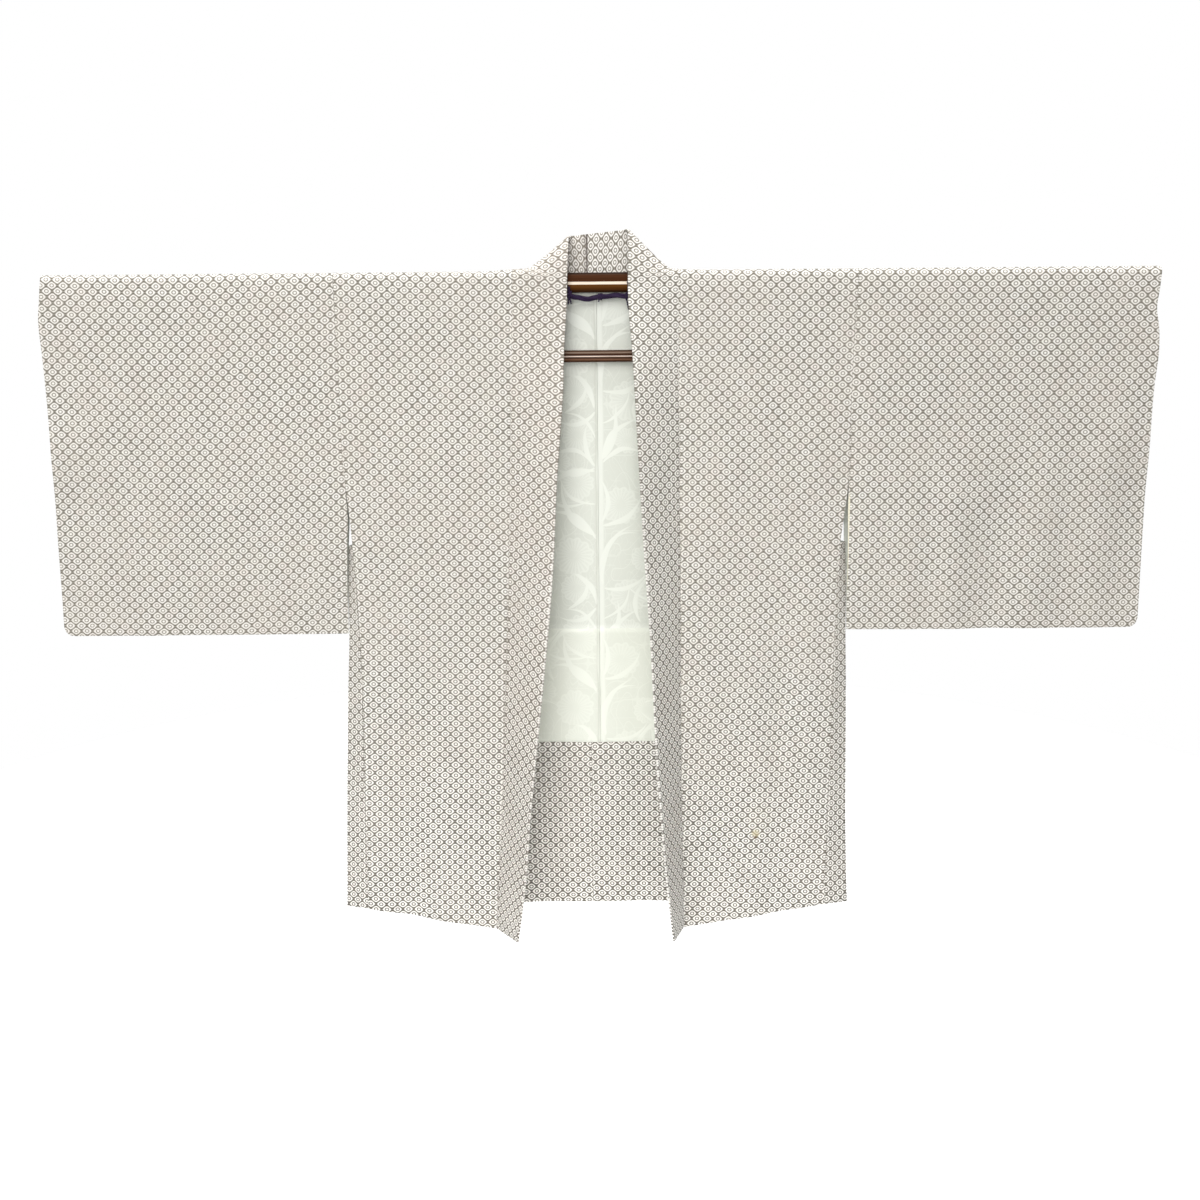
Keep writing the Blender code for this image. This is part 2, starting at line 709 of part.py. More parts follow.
def cloth(name, lines, thickness, colour):
    """A wall of cloth, half its thickness to each side of a grid of points."""
    rows, columns, _ = lines.shape
    faces = [
        (i * columns + j, i * columns + j + 1, (i + 1) * columns + j + 1, (i + 1) * columns + j)
        for i in range(rows - 1)
        for j in range(columns - 1)
    ]
    obj = add_object(name, mesh_from(name, lines.reshape(-1, 3), faces), colour)
    solidify = obj.modifiers.new("Wall", "SOLIDIFY")
    solidify.thickness = thickness
    solidify.offset = 0.0
    return obj


def bar(name, length, depth, height, rounding, top, y):
    """A straight bar along X with rounded long edges and chamfered ends."""
    corners = ((1, 1, 0), (-1, 1, 90), (-1, -1, 180), (1, -1, 270))
    stations = ((-1, BAR_END_CHAMFER), (-1, 0.0), (1, 0.0), (1, BAR_END_CHAMFER))
    points = []
    for end, chamfer in stations:
        x = end * (length / 2 - (0.0 if chamfer else BAR_END_CHAMFER))
        for across, up, start in corners:
            for step in range(4):
                turn = math.radians(start + 30 * step)
                reach = rounding - chamfer
                points.append((
                    x,
                    y + across * (depth / 2 - rounding) + reach * math.cos(turn),
                    top - height / 2 + up * (height / 2 - rounding) + reach * math.sin(turn),
                ))  # fmt: skip
    ring = len(corners) * 4
    faces = [tuple(reversed(range(ring))), tuple(range(3 * ring, 4 * ring))]
    for i in range(len(stations) - 1):
        for j in range(ring):
            k = (j + 1) % ring
            faces.append((i * ring + j, i * ring + k, (i + 1) * ring + k, (i + 1) * ring + j))
    mesh = mesh_from(name, points, faces)
    mesh.set_sharp_from_angle(angle=math.radians(40))
    return add_object(name, mesh, "lacquer")


def cut_hole(obj, out, z, radius, length):
    """A round hole along Y through a bar."""
    sides = 16
    ring = [(radius * math.cos(a), radius * math.sin(a)) for a in np.arange(sides) * math.tau / sides]
    points = [(out + x, y, z + h) for y in (length / 2, -length / 2) for x, h in ring]
    faces = [tuple(reversed(range(sides))), tuple(range(sides, 2 * sides))]
    faces += [(j, (j + 1) % sides, sides + (j + 1) % sides, sides + j) for j in range(sides)]
    cutter = add_object(f"{obj.name}_cutter", mesh_from("cutter", points, faces), None)
    cutter.hide_render = True
    cutter.display_type = "WIRE"
    hole = obj.modifiers.new("Hole", "BOOLEAN")
    hole.operation = "DIFFERENCE"
    hole.object = cutter


def rounded_route(points, step):
    """Points a step apart on a smooth curve through a route's points."""
    points = np.array(points, float)
    lengths = np.concatenate(([0.0], np.cumsum(np.linalg.norm(np.diff(points, axis=0), axis=1))))
    slopes = np.gradient(points, lengths, axis=0)
    count = max(2, round(lengths[-1] / step) + 1)
    made = []
    for at in np.linspace(0.0, lengths[-1], count):
        low = int(np.clip(np.searchsorted(lengths, at) - 1, 0, len(points) - 2))
        span = lengths[low + 1] - lengths[low]
        t = (at - lengths[low]) / span
        start = (1 + 2 * t) * (1 - t) ** 2 * points[low] + t * (1 - t) ** 2 * span * slopes[low]
        end = t * t * (3 - 2 * t) * points[low + 1] + t * t * (t - 1) * span * slopes[low + 1]
        made.append(start + end)
    return made


def cord(name, points, radius):
    curve = bpy.data.curves.new(name, "CURVE")
    curve.dimensions = "3D"
    curve.bevel_depth = radius
    curve.bevel_resolution = 2
    curve.use_fill_caps = True
    spline = curve.splines.new("POLY")
    spline.points.add(len(points) - 1)
    for place, point in zip(spline.points, points):
        place.co = (*map(float, point), 1.0)
    return add_object(name, curve, "cord")


def cord_loop(side):
    """The open turn round the lower bar that ends a side cord: top, back, bottom, front."""
    reach = LOWER_BAR_ROUND + SEAM_GAP + CORD_RADIUS
    flat_y = LOWER_BAR_DEPTH / 2 - LOWER_BAR_ROUND
    flat_z = LOWER_BAR_HEIGHT / 2 - LOWER_BAR_ROUND
    middle = LOWER_BAR_TOP - LOWER_BAR_HEIGHT / 2
    points = []
    for across, up, turns in LOOP_CORNERS:
        for turn in turns:
            y = LOWER_BAR_Y + across * flat_y + reach * math.cos(math.radians(turn))
            z = middle + up * flat_z + reach * math.sin(math.radians(turn))
            points.append((y, z))
    slide = CORD_RADIUS * 2 + SEAM_GAP
    return [
        (SIDES[side] * (CORD_LOOP_OUT + slide * i / (len(points) - 1)), y, z)
        for i, (y, z) in enumerate(points)
    ]


def knot(name, centre, size):
    """A small round lump where the slack cord is tied."""
    segments, rings = 10, 6
    points = [(centre[0], centre[1], centre[2] + size[2] / 2)]
    for ring in range(1, rings):
        polar = math.pi * ring / rings
        for segment in range(segments):
            turn = math.tau * segment / segments
            points.append((
                centre[0] + size[0] / 2 * math.sin(polar) * math.cos(turn),
                centre[1] + size[1] / 2 * math.sin(polar) * math.sin(turn),
                centre[2] + size[2] / 2 * math.cos(polar),
            ))  # fmt: skip
    points.append((centre[0], centre[1], centre[2] - size[2] / 2))
    last = len(points) - 1
    faces = [(0, 1 + j, 1 + (j + 1) % segments) for j in range(segments)]
    for ring in range(rings - 2):
        start = 1 + ring * segments
        for j in range(segments):
            k = (j + 1) % segments
            faces.append((start + j, start + segments + j, start + segments + k, start + k))
    start = last - segments
    faces += [(last, start + (j + 1) % segments, start + j) for j in range(segments)]
    return add_object(name, mesh_from(name, points, faces), "cord")


def add_garment():
    for side in SIDES:
        cloth(f"body_panel_{side}", body_panel(side), WALL, "cloth")
        cloth(f"sleeve_{side}", sleeve(side), WALL, "cloth")
        cloth(f"machi_{side}", machi(side), WALL, "cloth")
        cloth(f"collar_{side}", collar(side), COLLAR_WALL, "cloth")
        cloth(f"lining_back_{side}", lining_back(side), LINING_WALL, "lining")
        cloth(f"hem_facing_{side}", hem_facing(side), WALL, "cloth")


def add_hanger():
    top_bar = bar(
        "hanger_bar", TOP_BAR_LENGTH, TOP_BAR_DEPTH, TOP_BAR_HEIGHT, TOP_BAR_ROUND, 0.0, 0.0
    )
    for side in SIDES.values():
        cut_hole(top_bar, side * CORD_HOLE_OUT, CORD_HOLE_Z, CORD_HOLE_RADIUS, TOP_BAR_DEPTH * 2)
    bar(
        "lower_bar", LOWER_BAR_LENGTH, LOWER_BAR_DEPTH, LOWER_BAR_HEIGHT, LOWER_BAR_ROUND,
        LOWER_BAR_TOP, LOWER_BAR_Y,
    )  # fmt: skip
    for side, sign in SIDES.items():
        route = [(sign * out, y, z) for out, y, z in SIDE_CORD]
        cord(f"side_cord_{side}", rounded_route(route, CORD_STEP) + cord_loop(side), CORD_RADIUS)
        cord(f"swag_cord_{side}", rounded_route(SWAG[side], CORD_STEP), SWAG_RADIUS)
    knot("cord_knot", KNOT_CENTRE, KNOT_SIZE)


clear_scene()
add_garment()
add_hanger()
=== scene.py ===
"""The finish of a lined haori on its kimono hanger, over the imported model.

Metres, in the model's frame: +X is the wearer's left, -Y the front and +Z up, and the
origin is the middle of the top face of the hanger's top bar. "Out" is a distance from the
middle plane towards a piece's own side, and a depth is a distance to front or back.
"""

import collections
import math

import bpy
import numpy as np
from mathutils import Matrix


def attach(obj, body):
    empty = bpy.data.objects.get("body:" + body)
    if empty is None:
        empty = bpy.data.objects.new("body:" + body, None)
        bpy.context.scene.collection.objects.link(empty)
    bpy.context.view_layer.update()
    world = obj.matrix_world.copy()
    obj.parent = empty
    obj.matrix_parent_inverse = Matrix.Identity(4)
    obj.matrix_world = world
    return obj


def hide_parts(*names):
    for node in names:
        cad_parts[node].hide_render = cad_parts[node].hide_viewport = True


# --- The same driving sizes as the model's ---
WALL = 0.002
LINING_WALL = 0.0012
SEAM_GAP = 0.0003
TOP_BAR_DEPTH = 0.015
TOP_BAR_ROUND = 0.006
LOWER_BAR_LENGTH = 0.42
LOWER_BAR_HEIGHT = 0.014
LOWER_BAR_DEPTH = 0.009
LOWER_BAR_ROUND = 0.0025
LOWER_BAR_TOP = -0.091
LOWER_BAR_Y = -0.002
BAR_CLEARANCE = 0.0005
BEND = TOP_BAR_ROUND + BAR_CLEARANCE + WALL / 2
BEND_Y = TOP_BAR_DEPTH / 2 - TOP_BAR_ROUND
BEND_Z = -TOP_BAR_ROUND
FRONT_DEPTH = BEND_Y + BEND
BACK_DEPTH = FRONT_DEPTH + LINING_WALL + SEAM_GAP
BACK_BEND = BACK_DEPTH - BEND_Y
BEND_LENGTH = math.pi / 4 * (BEND + BACK_BEND)
HEM = -0.8
FRONT_HEM_RISE = 0.003
FRONT_HEM_DROP = 0.03
HEM_EASE = (0.35, 0.8)
FRONT_GROWTH = 0.003
BACK_GROWTH = 0.002
BACK_SEAM_X = -0.012
NECK_DROP = 0.021
NECK_LENGTH = BEND_Y + BEND_LENGTH + NECK_DROP + BEND_Z
SHOULDER_FLAT = 0.17
ARMHOLE_LOW = -0.246
SLEEVE_LOW = -0.433
MACHI_TOP = -0.326
FACING_TOP = -0.584
LINING_SEAM_X = -0.001
LINING_TOP = -0.007
LINING_MARGIN = 0.002
FACING_MARGIN = 0.001
NECK_MARGIN = 0.001
FOLD_FADE = (0.1, 0.22)
SLEEVE_STRAIGHT = 0.03
SLEEVE_CORNER = 0.012
CUFF_LOW = 0.235
SHUT_DEPTH = (WALL + SEAM_GAP) / 2
FURI_LINING = 0.0032
TOP_EDGE_Z = 0.0443
MOST_SAG = 0.95
COLLAR_WIDTH = 0.0644

# --- The finish ---
SLEEVE_DROP = 0.437
TIP_RISE = {"r": 0.0055, "l": 0.0088}
SINK_FADE = (0.015, 0.05)
TUCK_STEP = 0.0006
CLOTH = 0.0013
LINING_CLOTH = 0.0008
COLLAR_CLOTH = 0.002
EDGE_ROUND = 0.00035
STEP = 0.0065
ARMHOLE_DIP = 0.0012
ARMHOLE_DIP_WIDTH = 0.016
LINING_TUCK_Z = -0.436
LINING_TUCK = 0.0005

SIDES = {"r": -1, "l": 1}
OTHER = {"r": "l", "l": "r"}

NeckSize = collections.namedtuple("NeckSize", "lift peak_out peak_z sag sag_power")
SEAM, EDGE, FORWARD = 1, 2, 3


def mm(*rows):
    """Rows of millimetres, as metres."""
    return np.array(rows, float) / 1000


# Rows of the edges: height, and how far out the edge lies there.

BODY_EDGE = {
    "r": mm(
        (0, 312), (-100, 310.3), (-246, 307.8), (-290, 304), (-326, 301.8), (-380, 299.2), (-460, 296.8),
        (-600, 298), (-800, 300.5),
    ),
    "l": mm(
        (0, 308.5), (-80, 305.4), (-150, 303.7), (-246, 303), (-290, 298.5), (-326, 294), (-420, 290.1),
        (-520, 288.5), (-800, 283.8),
    ),
}

FURI_EDGE = {
    "r": mm((-246, 308.1), (-290, 306.6), (-326, 308.8), (-380, 311.4), (-433, 312.6)),
    "l": mm((-246, 303.3), (-290, 303.2), (-326, 304.2), (-380, 304.8), (-433, 305.6)),
}

MACHI_FOLD = {
    "r": mm(
        (-326, 307.4), (-380, 310.1), (-433, 311.2), (-520, 316.5), (-600, 320.6), (-700, 325),
        (-800, 329.2),
    ),
    "l": mm(
        (-326, 301.2), (-380, 303.4), (-433, 304.2), (-520, 306.8), (-600, 308.5), (-700, 310.8),
        (-800, 315),
    ),
}

SLEEVE_TIP = {
    "r": mm(
        (0, 657), (-24, 659.6), (-46, 662.6), (-92, 661.8), (-190, 660.2), (-290, 662), (-433, 664.8),
    ),
    "l": mm(
        (0, 666), (-24, 664.8), (-46, 662.8), (-69, 666.8), (-92, 668.6), (-140, 666), (-210, 665.6),
        (-433, 666.4),
    ),
}

# Rows: height, how far out the seam and the free edge lie, and how far the edge stands forward.
COLLAR = {
    "r": mm(
        (0, 100, 35.5, 7), (-30, 100.6, 36, 8), (-92, 102.5, 40, 13), (-138, 104.4, 41.6, 20),
        (-230, 107.5, 49.3, 27), (-360, 111.8, 57, 34), (-433, 115.3, 63.8, 38), (-575, 122.6, 79, 45),
        (-661, 127, 88.3, 48), (-765, 133.2, 97.6, 51), (-828, 137.2, 106.8, 55),
    ),
    "l": mm(
        (0, 96, 36, 8), (-30, 96.2, 36.3, 11), (-92, 96.7, 40.7, 24), (-140, 97.1, 43.3, 32),
        (-332, 98.9, 53.8, 45), (-446, 99.9, 61.3, 50), (-575, 100.8, 67, 54.5), (-649, 101.5, 72, 57),
        (-743, 103.5, 79.2, 60.5), (-828, 105, 88.8, 62.5),
    ),
}

NECK = {
    "r": NeckSize(0.0022, 0.0334, 0.0416, 0.0095, 0.6),
    "l": NeckSize(0.0012, 0.0371, 0.0492, 0.0075, 0.5),
}

FRONT_STOPS = (
    -0.024, -0.046, -0.069, -0.092, -0.14, -0.19, -0.246, -0.286, -0.326,
    -0.38, -0.433, -0.5, -0.57, -0.64, -0.72, HEM,
)  # fmt: skip

# Rows: share of the climb to the peak and of the run from it, y of the free edge, share of the sag.
NECK_ROWS = (
    (("front", -0.014), 0, 0, -0.0165, 0.3), (("over", 0), 0.14, 0, -0.0165, 0.6),
    (("over", 30), 0.4, 0, -0.0155, 0.9), (("over", 60), 0.72, 0, -0.012, 1),
    (("over", 80), 0.94, 0, -0.006, 1), (("over", 100), 1, 0.02, 0.0005, 1),
    (("over", 120), 1, 0.08, 0.005, 1), (("over", 150), 1, 0.16, 0.0085, 0.9),
    (("over", 180), 1, 0.27, 0.01, 0.75), (("back", -0.011), 1, 0.42, BACK_DEPTH, 0.5),
    (("back", -0.015), 1, 0.58, BACK_DEPTH, 0.3), (("back", -0.0185), 1, 0.78, BACK_DEPTH, 0.1),
    (("back", -0.0206), 1, 0.93, BACK_DEPTH, 0), (("back", -NECK_DROP), 1, 1, BACK_DEPTH, 0),
)
CLIMB_FROM_Z = -0.01

# Rows: out and height of a fold's top, out and height of its foot, width and height. The first
# rows of each table are the model's own folds, and the rest are finer creases.
FRONT_FOLDS = {
    "r": mm(
        (178, -120, 180, -480, 22, 3), (166, -420, 128, -700, 20, 3.4), (208, -580, 196, -980, 26, 3.6),
        (283, -550, 286, -980, 24, 2.8), (245, -500, 240, -980, 20, -2.6), (240, -100, 236, -360, 30, 2),
        (205, -140, 222, -410, 9, 0.7), (262, -260, 270, -520, 8, -0.6), (150, -300, 142, -470, 7, 0.6),
        (188, -550, 172, -820, 9, -0.8), (226, -660, 230, -900, 8, 0.7),
    ),
    "l": mm(
        (252, -300, 262, -740, 20, 3.4), (186, -340, 192, -980, 24, 3.2),
        (222, -400, 226, -900, 18, -2.4), (128, -200, 136, -600, 22, 1.8),
        (268, -100, 262, -300, 26, 1.8), (160, -160, 168, -380, 9, 0.6), (238, -200, 246, -430, 8, -0.7),
        (206, -520, 202, -800, 8, 0.8), (150, -500, 156, -920, 10, -0.7),
    ),
}
BACK_FOLDS = {
    "r": mm(
        (70, -100, 62, -980, 30, 3.4), (160, -140, 176, -660, 26, 2.8), (236, -300, 228, -980, 28, 3.6),
        (120, -440, 116, -980, 22, -2.2), (40, -220, 44, -550, 9, 0.7), (198, -160, 206, -400, 8, -0.6),
        (148, -560, 140, -900, 9, 0.8),
    ),
    "l": mm(
        (46, -200, 52, -980, 26, 3), (132, -100, 120, -580, 28, 3.4), (205, -260, 216, -980, 30, 3.2),
        (258, -120, 250, -460, 22, 2.4), (86, -300, 80, -660, 9, -0.7), (166, -480, 174, -860, 8, 0.7),
        (232, -140, 228, -360, 9, 0.6),
    ),
}
SLEEVE_FOLDS = {
    "r": mm(
        (655, -100, 652, -420, 30, 4), (470, -200, 462, -460, 24, 2.8), (560, -260, 556, -500, 22, 2.2),
        (400, -120, 392, -440, 26, 1.8), (600, -80, 590, -320, 9, 0.7), (515, -180, 520, -440, 8, -0.7),
        (435, -60, 428, -260, 9, 0.6),
    ),
    "l": mm(
        (428, -180, 436, -500, 20, 4.6), (486, -220, 484, -500, 20, -3.4),
        (540, -160, 532, -500, 26, 3.6), (378, -220, 382, -500, 18, 2.6), (618, -120, 606, -500, 22, 3),
        (404, -60, 410, -270, 8, 0.6), (570, -200, 566, -460, 8, -0.8), (640, -50, 634, -240, 9, 0.6),
    ),
}

# --- Cord ---
CORD_RADIUS = 0.0021
SWAG_ROUND = 0.0033
CORD_STEP = 0.0015
CORD_LOOP_OUT = 0.048
LOOP_CORNERS = (
    (1, 1, (90, 60, 30, 0)),
    (1, -1, (0, -30, -60, -90)),
    (-1, -1, (-90, -120, -150, -180)),
    (-1, 1, (-180, -205)),
)
SIDE_CORD = mm(
    (37.5, 3, -11.7), (37.5, -7, -11.7), (37.5, -9, -12.3), (37.5, -10.1, -14), (37.6, -10.4, -19),
    (38, -10, -25.5), (40, -8, -34), (44, -5, -48), (47, -3, -66), (47.8, -0.8, -82),
)
SWAG = {
    "r": mm(
        (-35.2, -8.8, -22.5), (-31, -6.6, -26.8), (-20, -4, -29.7), (-11.8, -4, -30.6), (-5, -4, -29.6),
        (2, -4, -28.5),
    ),
    "l": mm(
        (5, -4, -28.2), (12, -4, -27.6), (18, -4.2, -27), (30, -5.7, -27.4), (36.2, -8.1, -27.8),
    ),
}
KNOT_CENTRE = (0.0035, -0.004, -0.0283)
KNOT_HALF_WIDTH = 0.0024
KNOT_RADIUS = 0.0032
KNOT_TURNS = 2.5
KNOT_STRAND = 0.0011
Hitch = collections.namedtuple("Hitch", "out y radius turns top drop")
HITCH = Hitch(0.0379, -0.0099, 0.0036, 2.2, -0.0232, 0.0062)
HITCH_STRAND = 0.0013
# By its number of strands, the share of a cord's radius at which they lie.
STRAND_SHARES = {1: 0, 2: 0.42, 3: 0.46}
ASIDE = (0.31, 0.85, 0.42)
CORD_TAILS = (
    mm((-35, -9.2, -14.5), (-34.6, -9.8, -19), (-34.4, -9.8, -29)),
    mm((-33, -9, -16), (-32.8, -9.8, -20), (-33.4, -9.8, -28.5)),
    mm((-30.8, -8.6, -21.2), (-31.2, -9.6, -23.5), (-32.6, -9.6, -28)),
    mm((2.6, -7.2, -29), (1.8, -8, -31.6), (1.4, -7.8, -34)),
    mm((-33.4, -9.2, -28.6), (-31.8, -10, -32.2), (-30.8, -9.8, -36.2)),
    mm((-34, -9.2, -29), (-33.8, -10.4, -33), (-34.6, -10.4, -36.6)),
    mm((31.8, -6.6, -27.6), (34.4, -8.2, -31.6), (35.8, -8.8, -37.2), (36.8, -9, -43)),
)

SEAM_SINK = (0.00055, 0.0032)
WALLS = {
    "front": (FRONT_FOLDS, FRONT_DEPTH, FRONT_GROWTH, -1),
    "back": (BACK_FOLDS, BACK_DEPTH, BACK_GROWTH, 1),
}
REEDS_TOP, REEDS_HEIGHT, REED_DEPTH = 0.0028, 0.0084, 0.0007
CENTRE_SINK = (0.0034, 0.006)

# --- Camera, from the proportions of the hanging garment in view ---
CAMERA_PLACE = (0, -1.933, 0.0313)
CAMERA_PITCH = 12.5
CAMERA_ROLL = -0.5
LENS = 48
SENSOR = 36
FLOOR_Z = -1.2
FLOOR_RADIUS = 1.7

# --- Light ---
AMBIENT = 0.225
KEY_PLACE = (-0.7, -2.7, 1)
KEY_SIZE = 2.8
KEY_POWER = 75.5
FILL_PLACE = (0.3, -2.7, -0.3)
FILL_POWER = 10
BACK_PLACE = (0.7, 3.2, 1.2)
BACK_POWER = 62
FLOOR_BACK = 0.9
TOP_STRENGTH = 2.6

# --- Cloth pattern ---
REPEAT = 0.0136
NECK_CRAMP = 0.16
COLLAR_EASE = {"r": 0.925, "l": 0.92}
COLLAR_CURL = 0.05


# --- tables and curves ---


def ramp(value, start, end):
    """0 up to start, 1 from end, and a soft step between."""
    share = np.clip((np.asarray(value, float) - start) / (end - start), 0, 1)
    return share * share * (3 - 2 * share)


def smooth(at, places, values):
    """Values at the places asked, on a smooth curve through those given."""
    values = np.asarray(values, float)
    slopes = np.gradient(values, places, axis=0)
    at = np.clip(np.asarray(at, float), places[0], places[-1])
    low = np.clip(np.searchsorted(places, at) - 1, 0, len(places) - 2)
    span = places[low + 1] - places[low]
    t = (at - places[low]) / span
    if values.ndim > 1:
        t, span = t[..., None], span[..., None]
    start = (1 + 2 * t) * (1 - t) ** 2 * values[low] + t * (1 - t) ** 2 * span * slopes[low]
    end = t * t * (3 - 2 * t) * values[low + 1] + t * t * (t - 1) * span * slopes[low + 1]
    return start + end


def along(rows, z, column=SEAM):
    """A table's column at height z, on a smooth curve through its rows."""
    return smooth(-np.asarray(z, float), -rows[:, 0], rows[:, column])


def relief(folds, out, z):
    """The height of the folds at a place on the cloth."""
    total = 0
    for top_out, top_z, low_out, low_z, width, height in folds:
        share = (top_z - z) / (top_z - low_z)
        middle = top_out + (low_out - top_out) * share
        fade = ramp(share, 0, 0.35) * (1 - ramp(share, 0.65, 1))
        total = total + height * fade * np.exp(-(((out - middle) / width) ** 2))
    return total


def unit(vector):
    return vector / np.linalg.norm(vector)


def lengths_along(points):
    steps = np.linalg.norm(np.diff(points, axis=0), axis=1)
    return np.concatenate(([0], np.cumsum(steps)))


def stops(marks, step=STEP):
    """Evenly spaced values through the marks, at most a step apart."""
    made = [marks[0]]
    for start, end in zip(marks, marks[1:]):
        count = max(1, math.ceil(abs(end - start) / step))
        made += list(np.linspace(start, end, count + 1)[1:])
    return made


# --- the body's surface ---


def seam_out(side, z):
    return along(COLLAR[side], z)


def body_edge(side, z):
    return along(BODY_EDGE[side], z)


def settled(edge, side, at):
    """Where an edge lies in the front row that starts at this level."""
    z = at
    for _ in range(4):
        z = front_height(side, edge(side, z), at)
    return float(edge(side, z))


def front_height(side, out, level):
    """The front hem drops from the side to the collar, and the rows above it ease back."""
    share = (body_edge(side, HEM) - out) / (body_edge(side, HEM) - seam_out(side, HEM))
    return level + (FRONT_HEM_RISE - FRONT_HEM_DROP * share) * ramp(-level, *HEM_EASE)


def shoulder_lift(side, out):
    """How far the standing collar pulls the cloth beside it up off the bar."""
    top_seam = seam_out(side, 0)
    return NECK[side].lift * (1 - ramp(out, top_seam, SHOULDER_FLAT)) ** 4


def armhole_hold(side, out, z):
    """0 along the armhole, so that the body meets the sleeve, and 1 elsewhere."""
    near = 1 - ramp(body_edge(side, z) - out, 0, 0.05)
    return 1 - near * (1 - ramp(-z, -ARMHOLE_LOW, -MACHI_TOP))


def armhole_dip(distance, z):
    """The cloth sinks a little on both sides of the armhole seam."""
    fade = ramp(-z, 0.02, 0.1) * (1 - ramp(-z, 0.4, 0.55))
    return ARMHOLE_DIP * fade * np.exp(-((distance / ARMHOLE_DIP_WIDTH) ** 2))


def wall_y(part, side, out, z):
    """The place from front to back of the body's cloth, folds included."""
    folds, depth, growth, way = WALLS[part]
    folded = relief(folds[side], out, z) * ramp(-z, *FOLD_FADE) * armhole_hold(side, out, z)
    return way * (depth + growth * z / HEM + folded - armhole_dip(body_edge(side, z) - out, z))


def over_bar(angle, back_bend):
    """(y, z) of the cloth where it bends over the bar, from 0 degrees in front to 180 behind."""
    turn = math.radians(angle)
    reach = BEND if angle < 90 else back_bend
    flat = BEND_Y if angle > 90 else -BEND_Y
    return flat - reach * math.cos(turn), BEND_Z + BEND * math.sin(turn)


def body_line(side, out, row):
    """Points of the body's cloth along one row."""
    part, at = row
    lift = shoulder_lift(side, out)
    if part == "over":
        y, z = over_bar(at, BACK_BEND)
        ys, zs = np.full_like(out, y), z + lift
    else:
        zs = front_height(side, out, at) if part == "front" else np.full_like(out, at)
        ys = wall_y(part, side, out, zs)
        if part == "front":
            zs = zs + lift * (1 - ramp(-at, -BEND_Z, 0.06))
    return np.column_stack((SIDES[side] * out, ys, zs))


def body_point(side, out, row):
    return body_line(side, np.array([out]), row)[0]


def cloth_way(row, z=None):
    """How far along the cloth a row lies: below 0 in front, and growing to the back."""
    part, at = row
    z = at if z is None else z
    if part == "front":
        return z - BEND_Z
    if part == "over":
        return BEND * math.radians(at) + (2 * BEND_Y if at > 90 else 0) + 0 * np.asarray(z)
    return BEND * math.pi + 2 * BEND_Y + BEND_Z - z


def neck_share(row):
    """How far a row lies from the shoulder's top to the lowest point of the back neck."""
    part, at = row
    if part == "front" or (part == "over" and at < 90):
        return 0
    if part == "over":
        return (BEND_Y + BEND_LENGTH * (at - 90) / 90) / NECK_LENGTH
    return min(1, (BEND_Y + BEND_LENGTH + BEND_Z - at) / NECK_LENGTH)


def middle_edge(side, seam_x=BACK_SEAM_X):
    """How far out a piece begins that ends at a seam near the middle."""
    return SIDES[side] * seam_x + SEAM_GAP / 2


def inner_edge(side, row):
    """The body panel's edge along the collar seam, the back neck and the centre seam."""
    if row[0] == "front":
        return settled(seam_out, side, row[1])
    centre = middle_edge(side)
    return centre + (seam_out(side, 0) - centre) * math.sqrt(1 - neck_share(row) ** 2)


def outer_edge(side, row):
    part, at = row
    if part == "front":
        return settled(body_edge, side, at)
    return float(body_edge(side, 0 if part == "over" else at))


def sunk(distance, depth, width):
    """How far the cloth dips towards a seam that is so far away."""
    return depth * np.clip(1 - distance / width, 0, 1) ** 2


def sink_seams(line, *distances):
    """Dip a row towards the seams at these distances, but not at the bar."""
    sink = sum(sunk(distance, *SEAM_SINK) for distance in distances)
    line[:, 1] -= np.sign(line[:, 1]) * sink * ramp(-line[:, 2], *SINK_FADE)

OVER_ROWS = [("over", angle) for angle in (0, 15, 30, 45, 60, 75, 88, 92, 105, 120, 135, 150, 165, 180)]
FRONT_MARKS = (HEM, FACING_TOP, SLEEVE_LOW, MACHI_TOP, ARMHOLE_LOW, -0.012)
BACK_MARKS = (-NECK_DROP, *FRONT_MARKS[4::-1])
NECK_MARKS = (BEND_Z, -0.011, -0.0185)


def rows_of(part, marks, step=STEP):
    return [(part, z) for z in stops(marks, step)]


def body_rows():
    neck = rows_of("back", (*NECK_MARKS, -NECK_DROP), 0.0025)[1:-1]
    return rows_of("front", FRONT_MARKS) + OVER_ROWS + neck + rows_of("back", BACK_MARKS)


def body_panel(side):
    """The grid of a body panel, and each point's place on the flat cloth."""
    lines, flat = [], []
    near = np.array((0, 0.004, 0.008, 0.013, 0.021))
    shares = np.concatenate((near, np.linspace(0.04, 0.96, 40), 1 - near[::-1]))
    for row in body_rows():
        inner, outer = inner_edge(side, row), outer_edge(side, row)
        out = inner + (outer - inner) * shares
        line = body_line(side, out, row)
        sink_seams(line, out - inner, outer - out)
        lines.append(line)
        level = front_height(side, out, row[1]) if row[0] == "front" else line[:, 2]
        flat.append(np.column_stack((out, cloth_way(row, level) + 0 * out)))
    return np.array(lines), np.array(flat)


# --- gusset ---


